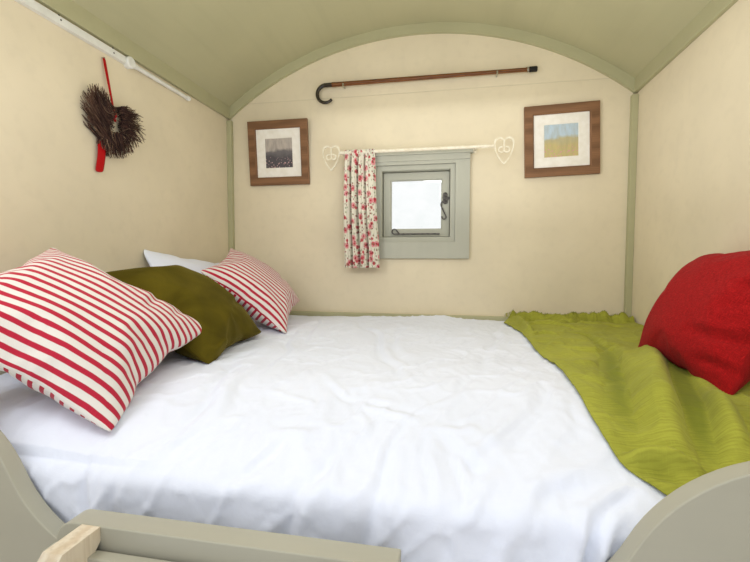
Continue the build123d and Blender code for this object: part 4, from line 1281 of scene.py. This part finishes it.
def tie_ribbon(slack=0.004, knot_rise=0.022, knot_half=0.02):
    """Two strands from the nail to a knot in the heart's opening, and a broad tail under the heart."""
    nail_low, nail_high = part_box("ribbon_nail")
    heart_low, heart_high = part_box("twig_heart")
    nail = Vector((nail_high.x - slack, (nail_low.y + nail_high.y) / 2, nail_high.z))
    knot = (heart_low + heart_high) / 2 + Vector((0, 0, knot_rise))
    drop = knot + Vector((0, 0, knot_half)) - nail
    for number, shift in enumerate((-ribbon_apart, ribbon_apart)):
        shares = np.linspace(0, 1, 10)
        line = [nail + drop * t + Vector((0, shift * (1 - t), 0)) for t in shares]
        made = ribbon_strip(f"hanging_ribbon_{number}", line, ribbon_hanging, (0.15, 0.98, 0))
        if not number:
            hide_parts("heart_ribbon")
    loop = []
    for turn in np.linspace(0, 2 * math.pi, 14):
        out, along, up = 0.004 * math.sin(turn), 0.006 * math.cos(turn), 0.019 * math.sin(turn / 2 + 0.3)
        loop.append(knot + Vector((out, along, up)))
    ribbon_strip("ribbon_knot", loop, ribbon_knotted, (0.6, 0.3, 0.7))
    start = Vector((heart_low.x + 0.012, knot.y - 0.046, heart_low.z + 0.045))
    tail = [start + Vector((0.004 * math.sin(4 * t), -0.010 * t, -0.112 * t)) for t in np.linspace(0, 1, 9)]
    ribbon_strip("ribbon_tail", tail, ribbon_loose, (0.3, 0.95, 0.05))


tie_ribbon()


def print_look(name, sky, far, near, dots):
    """A soft generic print: bands of colour that run into each other, with small spots in the lowest."""
    look = Look(name, Roughness=0.6)
    drift = look.noise(16, 5, "weave")
    rise = look.maths("ADD", look.parts(look.space("weave"))[1], look.maths("MULTIPLY", drift, 0.06))
    wash = look.noise(60, 5, "weave", (1, 0.25, 1))
    base = look.tint(colour(far), colour(sky), rise, 0.035, 0.05)
    base = look.tint(colour(near), base, rise, 0.01, 0.03)
    base = look.tint(base, colour(far, 0.7), wash, 0.4, 0.75, 0.5)
    spots = look.spread(look.cells(look.space("weave"), 95), 0.2, 0.3, 1, 0)
    lowest = look.spread(rise, -0.01, 0.02, 1, 0)
    return look.done(look.mixed(look.maths("MULTIPLY", spots, lowest), base, colour(dots)))


def mount_picture(side, lean, turn, print_material):
    """The card mount with its bevelled opening, and the print behind it, in the plane of their frame."""
    low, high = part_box(side + "_picture_panel")
    middle = (low + high) / 2
    plane = Matrix.Rotation(math.radians(lean), 3, "X") @ Matrix.Rotation(math.radians(-turn), 3, "Y")
    half, opening, bevel, bevel_deep, card_deep, print_deep = 0.119, 0.0725, 0.0022, 0.0018, 0.0024, 0.0022
    corners = ((-1, -1), (1, -1), (1, 1), (-1, 1))
    points = []
    for size, deep in ((half, 0), (opening + bevel, 0), (opening, bevel_deep), (opening, card_deep)):
        points += [plane @ Vector((u * size, deep, v * size)) + middle for u, v in corners]
    faces = []
    for start in range(0, len(points) - 4, 4):
        for k in range(4):
            a, b = start + k, start + (k + 1) % 4
            faces.append((a, b, b + 4, a + 4))
    card = piece(side + "_mount", points, faces, "picture_card", smooth=False)
    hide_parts(side + "_picture_panel")
    points = [plane @ Vector((u * opening, print_deep, v * opening)) + middle for u, v in corners]
    weave = [(u * opening, v * opening, 0) for u, v in corners]
    piece(side + "_print", points, [(0, 1, 2, 3)], "picture_card", print_material, False, {"weave": weave})


mount_picture("left", 5, 0, print_look("pebble_print", "B9AFA6", "6F6A6C", "4D4A50", "C7A0A0"))
mount_picture("right", 0, 1.6, print_look("meadow_print", "B8CBDA", "B9B08A", "C4B47C", "D2909C"))


def studs(name, slot, places, radius, half, sides=12):
    """Short round studs or rings that point across the room, a little smaller at their outer face."""
    out = Vector((1, 0, 0))
    points, faces = [], []
    for place in places:
        sections = ((-half, radius), (half * 0.6, radius), (half, radius * 0.8))
        rings = [ring(Vector(place) + out * end, out, width, sides) for end, width in sections]
        join_rings(points, faces, rings)
    return piece(name, points, faces, slot, smooth=False)


# Pixels of the photograph at the screws of the trunking
screw_pixels = [(59, 15), (61, 20), (113, 48), (114, 53)]


def small_metal(off_ferrule=0.006, collar_proud=0.001, collar_half=0.004, screw_radius=0.0026):
    """A silver collar before the stick's ferrule, and two pairs of screws in the trunking."""
    ferrule_low, ferrule_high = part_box("stick_ferrule")
    middle = (ferrule_low + ferrule_high) / 2
    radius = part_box("walking_stick")[1].z - middle.z + collar_proud
    collar = (ferrule_low.x - off_ferrule, middle.y, middle.z)
    studs("stick_collar", "hook_metal", [collar], radius, collar_half)
    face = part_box("cable_trunking")[1].x
    screws = [(face, *on_wall(u, v, face)) for u, v in screw_pixels]
    studs("trunking_screws", "iron", screws, screw_radius, 0.0012)


small_metal()


# Faces of a box whose corners are counted round its foot and then round its top
box_faces = ((3, 2, 1, 0), (4, 5, 6, 7), (0, 1, 5, 4), (1, 2, 6, 5), (2, 3, 7, 6), (3, 0, 4, 7))


def boards(name, slot, boxes, ease, look=None):
    """Separate boards, each a box from its low to its high corner, with eased edges and their own grain."""
    points, faces, grain = [], [], []
    for low, high in boxes:
        faces += [tuple(len(points) + k for k in face) for face in box_faces]
        foot = ((low[0], low[1]), (high[0], low[1]), (high[0], high[1]), (low[0], high[1]))
        corners = [(x, y, z) for z in (low[2], high[2]) for x, y in foot]
        points += corners
        order = sorted(range(3), key=lambda k: low[k] - high[k])
        shift = grain_shift()
        grain += [[corner[k] + shift[k] for k in order] for corner in corners]
    made = piece(name, points, faces, slot, look, notes={"grain": grain})
    settings = {"width": ease, "segments": 2, "limit_method": "NONE"}
    return settle(made, ("BEVEL", settings), ("WEIGHTED_NORMAL", {}))


def lay_floor(width=0.13, gap=0.0015):
    """Planks along the hut, as wide as fits the floor in a whole number."""
    low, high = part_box("floor_boards")
    count = round((high.x - low.x) / width)
    pitch = (high.x - low.x) / count
    boxes = []
    for k in range(count):
        left, right = low.x + pitch * k + gap / 2, low.x + pitch * (k + 1) - gap / 2
        boxes.append(((left, low.y, low.z), (right, high.y, high.z)))
    made = boards("floor_planks", "floor_pine", boxes, 0.0015)
    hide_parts("floor_boards")


lay_floor()


def around(spans, left, right, low, high, least_wide=0.006, least_high=0.008):
    """What is left of flat spans round a hole, each span from left to right and from low to high."""
    kept = []
    for a, b, bottom, top in spans:
        if b <= left or a >= right or top <= low or bottom >= high:
            kept.append((a, b, bottom, top))
            continue
        inner_a, inner_b = max(a, left), min(b, right)
        kept += [(a, inner_a, bottom, top), (inner_b, b, bottom, top)]
        kept += [(inner_a, inner_b, bottom, low), (inner_a, inner_b, high, top)]
    return [span for span in kept if span[1] - span[0] > least_wide and span[3] - span[2] > least_high]


def clad_walls(cover=0.125, thick=0.018, gap=0.003, ease=0.003, trim=0.07, trim_thick=0.03):
    """Painted boards round the outside of the walls, cut round the window and under the roof."""
    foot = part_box("right_wall")[0].z
    under_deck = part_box("roof_deck")[0].z + 0.03
    arch_top, out_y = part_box("end_wall")[1].z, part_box("end_wall")[1].y
    arch_base, crown = (corner.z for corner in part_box("ceiling_lining"))
    radius = (wall_half**2 + (crown - arch_base) ** 2) / (2 * (crown - arch_base))
    centre = crown - radius
    sill_low, frame_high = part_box("window_frame")
    sill_proud, sill_thick, under_arch, least_board = 0.045, 0.030, 0.012, 0.008
    frame_left, frame_right = sill_low.x + sill_proud, frame_high.x - sill_proud
    sill_top, trim_top = sill_low.z + sill_thick, frame_high.z + trim
    left, right = frame_left - trim, frame_right + trim
    side_boxes, end_boxes = [], []
    z = foot
    while z < arch_top - under_arch - least_board:
        top = min(z + cover - gap, arch_top - under_arch)
        if top < under_deck:
            for a, b in ((-wall_outside - thick, -wall_outside), (wall_outside, wall_outside + thick)):
                side_boxes.append(((a, front_y, z), (b, out_y + thick, top)))
        level = z + 0.65 * (top - z) - centre
        reach = min(wall_outside, math.sqrt(max(radius**2 - level**2, 0)))
        spans = around([(-reach, reach, z, top)], left, right, sill_top, trim_top)
        for a, b, bottom, upper in around(spans, sill_low.x, frame_high.x, sill_low.z, sill_top):
            end_boxes.append(((a, out_y, bottom), (b, out_y + thick, upper)))
        z += cover
    boards("side_cladding", "sage_paint", side_boxes, ease, cladding_paint)
    boards("end_cladding", "sage_paint", end_boxes, ease, cladding_paint)
    face = out_y + trim_thick
    trim_boxes = [
        ((left, out_y, sill_top), (frame_left, face, trim_top)),
        ((frame_right, out_y, sill_top), (right, face, trim_top)),
        ((frame_left, out_y, frame_high.z), (frame_right, face, trim_top)),
    ]
    boards("outer_window_trim", "window_paint", trim_boxes, ease)


clad_walls()

# Camera
lens = bpy.data.cameras.new("photo_lens")
lens.sensor_width = sensor_width
lens.lens = photo_focal * sensor_width / photo_width
lens.clip_start = 0.01
viewer = put("viewer", lens)
viewer.matrix_world = Matrix.Translation(camera_at) @ camera_matrix.to_4x4()
scene.camera = viewer


def shine(name, kind, strength, towards, **settings):
    """A light that faces a direction."""
    lamp = bpy.data.lights.new(name, kind)
    lamp.energy = strength
    for key, value in settings.items():
        setattr(lamp, key, value)
    made = put(name, lamp)
    made.rotation_mode = "QUATERNION"
    made.rotation_quaternion = Vector(towards).to_track_quat("-Z", "Y")
    return made


def sun(name, azimuth, elevation, strength, softness):
    """A soft studio light from far away, by where it stands round the hut and how high."""
    a, e = math.radians(azimuth), math.radians(elevation)
    towards = (-math.sin(a) * math.cos(e), math.cos(a) * math.cos(e), -math.sin(e))
    shine(name, "SUN", strength, towards, angle=math.radians(softness))


sun("front_light", -8, 55, 0.5, 60)
sun("left_light", -100, 40, 0.95, 50)
sun("right_light", 95, 40, 0.95, 50)
sun("back_light", 180, 35, 0.95, 50)


def room_lamp(name, place, size, watts, towards):
    """A wide soft lamp inside the room that no camera sees."""
    made = shine(name, "AREA", watts, towards, shape="RECTANGLE", size=size[0], size_y=size[1])
    made.location = place
    made.visible_camera = False
    made.visible_glossy = False


room_lamp("room_light", (0.12, -0.62, 2.1), (1.2, 1.1), 2.8, (0, 0, -1))
room_lamp("front_room_light", (0.45, -1.9, 2.0), (0.8, 0.25), 3.6, (0.05, 0.45, -0.89))
room_lamp("door_light", (-0.78, -1.68, 1.95), (0.36, 0.5), 5.8, (1.6, 0.95, -0.95))
room_lamp("ceiling_fill", (0.15, -0.9, 1.5), (0.8, 1.3), 4.3, (0, 0, 1))
room_lamp("end_fill", (0.1, -1.4, 1.75), (1.8, 0.5), 2.5, (0, 0.98, 0.17))


def studio_floor(half=9):
    """A pale floor under the hut, far wider than it."""
    corners = [(-half, -half, 0), (half, -half, 0), (half, half, 0), (-half, half, 0)]
    mesh = bpy.data.meshes.new("studio_floor")
    mesh.from_pydata(corners, [], [(0, 1, 2, 3)])
    look = Look("studio_floor", Roughness=0.9)
    tone = look.noise(0.8, 3)
    mesh.materials.append(look.done(look.mixed(tone, colour("D8D8D6"), colour("E0E0DE"))))
    put("studio_floor", mesh)


def studio_sky(strength=0.74):
    """Even soft light from all round, and plain white wherever the sky itself is seen or mirrored."""
    world = bpy.data.worlds.new("studio")
    scene.world = world
    world.use_nodes = True
    tree = world.node_tree
    soft = tree.nodes["Background"]
    soft.inputs["Color"].default_value = (0.96, 0.98, 1.0, 1.0)
    soft.inputs["Strength"].default_value = strength
    white = tree.nodes.new("ShaderNodeBackground")
    white.inputs["Color"].default_value = (1, 1, 1, 1)
    rays = tree.nodes.new("ShaderNodeLightPath")
    seen = rays.outputs["Is Camera Ray"]
    for kind in ("Glossy", "Transmission"):
        either = tree.nodes.new("ShaderNodeMath")
        either.operation = "MAXIMUM"
        tree.links.new(seen, either.inputs[0])
        tree.links.new(rays.outputs[f"Is {kind} Ray"], either.inputs[1])
        seen = either.outputs[0]
    mix = tree.nodes.new("ShaderNodeMixShader")
    for number, output in enumerate((seen, soft.outputs[0], white.outputs[0])):
        tree.links.new(output, mix.inputs[number])
    tree.links.new(mix.outputs[0], tree.nodes["World Output"].inputs["Surface"])


studio_floor()
studio_sky()
scene.view_settings.view_transform = "Standard"
